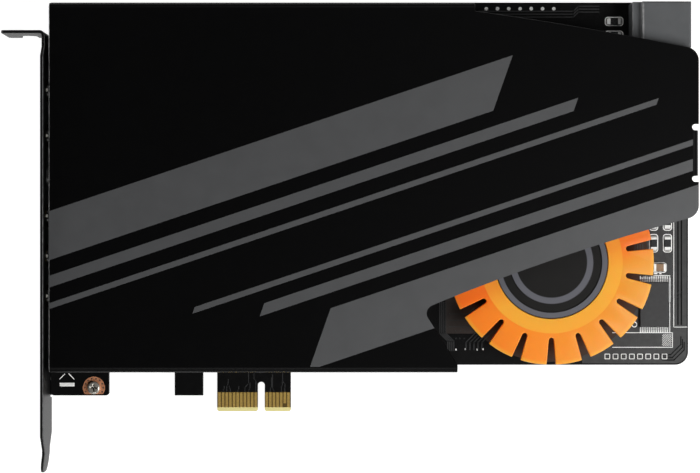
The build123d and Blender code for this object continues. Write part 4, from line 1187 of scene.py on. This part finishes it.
def soft_lamp(name, position, size, power):
    """Square soft lamp aimed at the card."""
    data = bpy.data.lights.new(name, "AREA")
    data.size = size
    data.energy = power
    lamp = bpy.data.objects.new(name, data)
    scene.collection.objects.link(lamp)
    lamp.location = position
    lamp.rotation_euler = (Vector(LAMP_TARGET) - Vector(position)).to_track_quat("-Z", "Y").to_euler()


def overhead_camera():
    """Camera straight above the card."""
    data = bpy.data.cameras.new("camera")
    data.sensor_width = CAMERA_SENSOR
    data.lens = CAMERA_LENS
    camera = bpy.data.objects.new("camera", data)
    scene.collection.objects.link(camera)
    camera.location = mm(*CAMERA_PLACE)
    scene.camera = camera


def painted_floor_shadow(tree):
    """One on the floor under the board's end by the bracket, where no light comes in: there the glow is left
    out as a painted shadow.
    """
    inside = 1.0
    for axis, low, high in zip("XY", UNDER_LOW, UNDER_HIGH):
        along = coordinate(tree, axis)
        inside = math_node(tree, "MULTIPLY", inside, math_node(tree, "GREATER_THAN", along, low * MM))
        inside = math_node(tree, "MULTIPLY", inside, math_node(tree, "LESS_THAN", along, high * MM))
    return inside


def floor_finish():
    """Pale floor that reads as white and keeps the soft shadow, with a painted shadow under the board's end
    by the bracket.
    """
    made = bpy.data.materials.new("pale_floor")
    made.use_nodes = True
    tree = made.node_tree
    tree.nodes.clear()
    path = shader_node(tree, "ShaderNodeLightPath")
    seen = math_node(tree, "ADD", path.outputs["Is Camera Ray"], path.outputs["Is Glossy Ray"])
    seen = math_node(tree, "ADD", seen, path.outputs["Is Transmission Ray"])
    shadow_share = math_node(tree, "MULTIPLY", painted_floor_shadow(tree), FLOOR_GLOW)
    open_floor = math_node(tree, "SUBTRACT", FLOOR_GLOW, shadow_share)
    glow = shader_node(tree, "ShaderNodeEmission")
    tree.links.new(math_node(tree, "MULTIPLY", seen, open_floor), glow.inputs["Strength"])
    matt = shader_node(tree, "ShaderNodeBsdfDiffuse", {"Color": (FLOOR_GREY, FLOOR_GREY, FLOOR_GREY, 1)})
    both = shader_node(tree, "ShaderNodeAddShader")
    tree.links.new(glow.outputs[0], both.inputs[0])
    tree.links.new(matt.outputs[0], both.inputs[1])
    out = shader_node(tree, "ShaderNodeOutputMaterial")
    tree.links.new(both.outputs[0], out.inputs["Surface"])
    return made


def pale_floor():
    """Floor under the card's lowest point."""
    bm = bmesh.new()
    bmesh.ops.create_grid(bm, x_segments=1, y_segments=1, size=FLOOR_SIZE / 2,
                          matrix=Matrix.Translation((0, 0, cad_box[0].z)))
    mesh = bpy.data.meshes.new("floor")
    bm.to_mesh(mesh)
    bm.free()
    mesh.materials.append(floor_finish())
    floor = bpy.data.objects.new("floor", mesh)
    scene.collection.objects.link(floor)


def studio_world():
    """White towards the horizon and dark overhead, with a low even light on matt surfaces.

    A dark flag stands on the bracket's side, so the bracket's face stays black."""
    world = bpy.data.worlds.new("studio")
    scene.world = world
    world.use_nodes = True
    tree = world.node_tree
    sky = tree.nodes["Background"]
    where = shader_node(tree, "ShaderNodeTexCoord")
    way = shader_node(tree, "ShaderNodeSeparateXYZ")
    tree.links.new(where.outputs["Generated"], way.inputs[0])
    path = shader_node(tree, "ShaderNodeLightPath")
    light = spread(tree, way.outputs["Z"], 1.0, OVERHEAD_LIGHT, *SKY_FALL)
    flagged = spread(tree, way.outputs["X"], 1 - FLAGGED_LIGHT, 0, *FLAG_SIDE)
    flag = math_node(tree, "MULTIPLY", flagged, path.outputs["Is Glossy Ray"])
    light = math_node(tree, "MULTIPLY", light, math_node(tree, "SUBTRACT", 1.0, flag))
    dimmed = math_node(tree, "MULTIPLY", path.outputs["Is Diffuse Ray"], 1 - AMBIENT_LIGHT)
    light = math_node(tree, "MULTIPLY", light, math_node(tree, "SUBTRACT", 1.0, dimmed))
    tree.links.new(light, sky.inputs["Strength"])


# The card

for row in frame["record"]["subparts"]:
    slots = nodes[row["node"]].data.materials
    slots.clear()
    slots.append(finishes[row["material_slot"]])

for name, solid, width, slot in EASED:
    eased_copy(name, solid, width, slot)
for jack in jacks:
    collar = jack.replace("_jack", "_collar")
    slot = "collar_black" if jack == DARK_JACK else "collar_gold"
    eased_copy(collar.replace("_", "_mouth_"), collar, COLLAR_EASING, slot)
cover_print()
paler_mask_patch("end_pour_and_painted_light", *END_POUR_AND_PAINTED_LIGHT, pour_and_painted_light_mask)
paler_mask_patch("bay_painted_light", *BAY_PAINTED_LIGHT, bay_painted_light_mask)
painted_ring_light()
front_tracks()
front_gaps()
front_print()
front_pads()
chip_ends()
foot_land()
memory_dimple()
back_tracks()
back_vias()
back_print()
solder_cones()

# The studio

overhead_camera()
scene.view_settings.view_transform = "Standard"
for name, position, size, power in LAMPS:
    soft_lamp(name, position, size, power)
studio_world()
pale_floor()
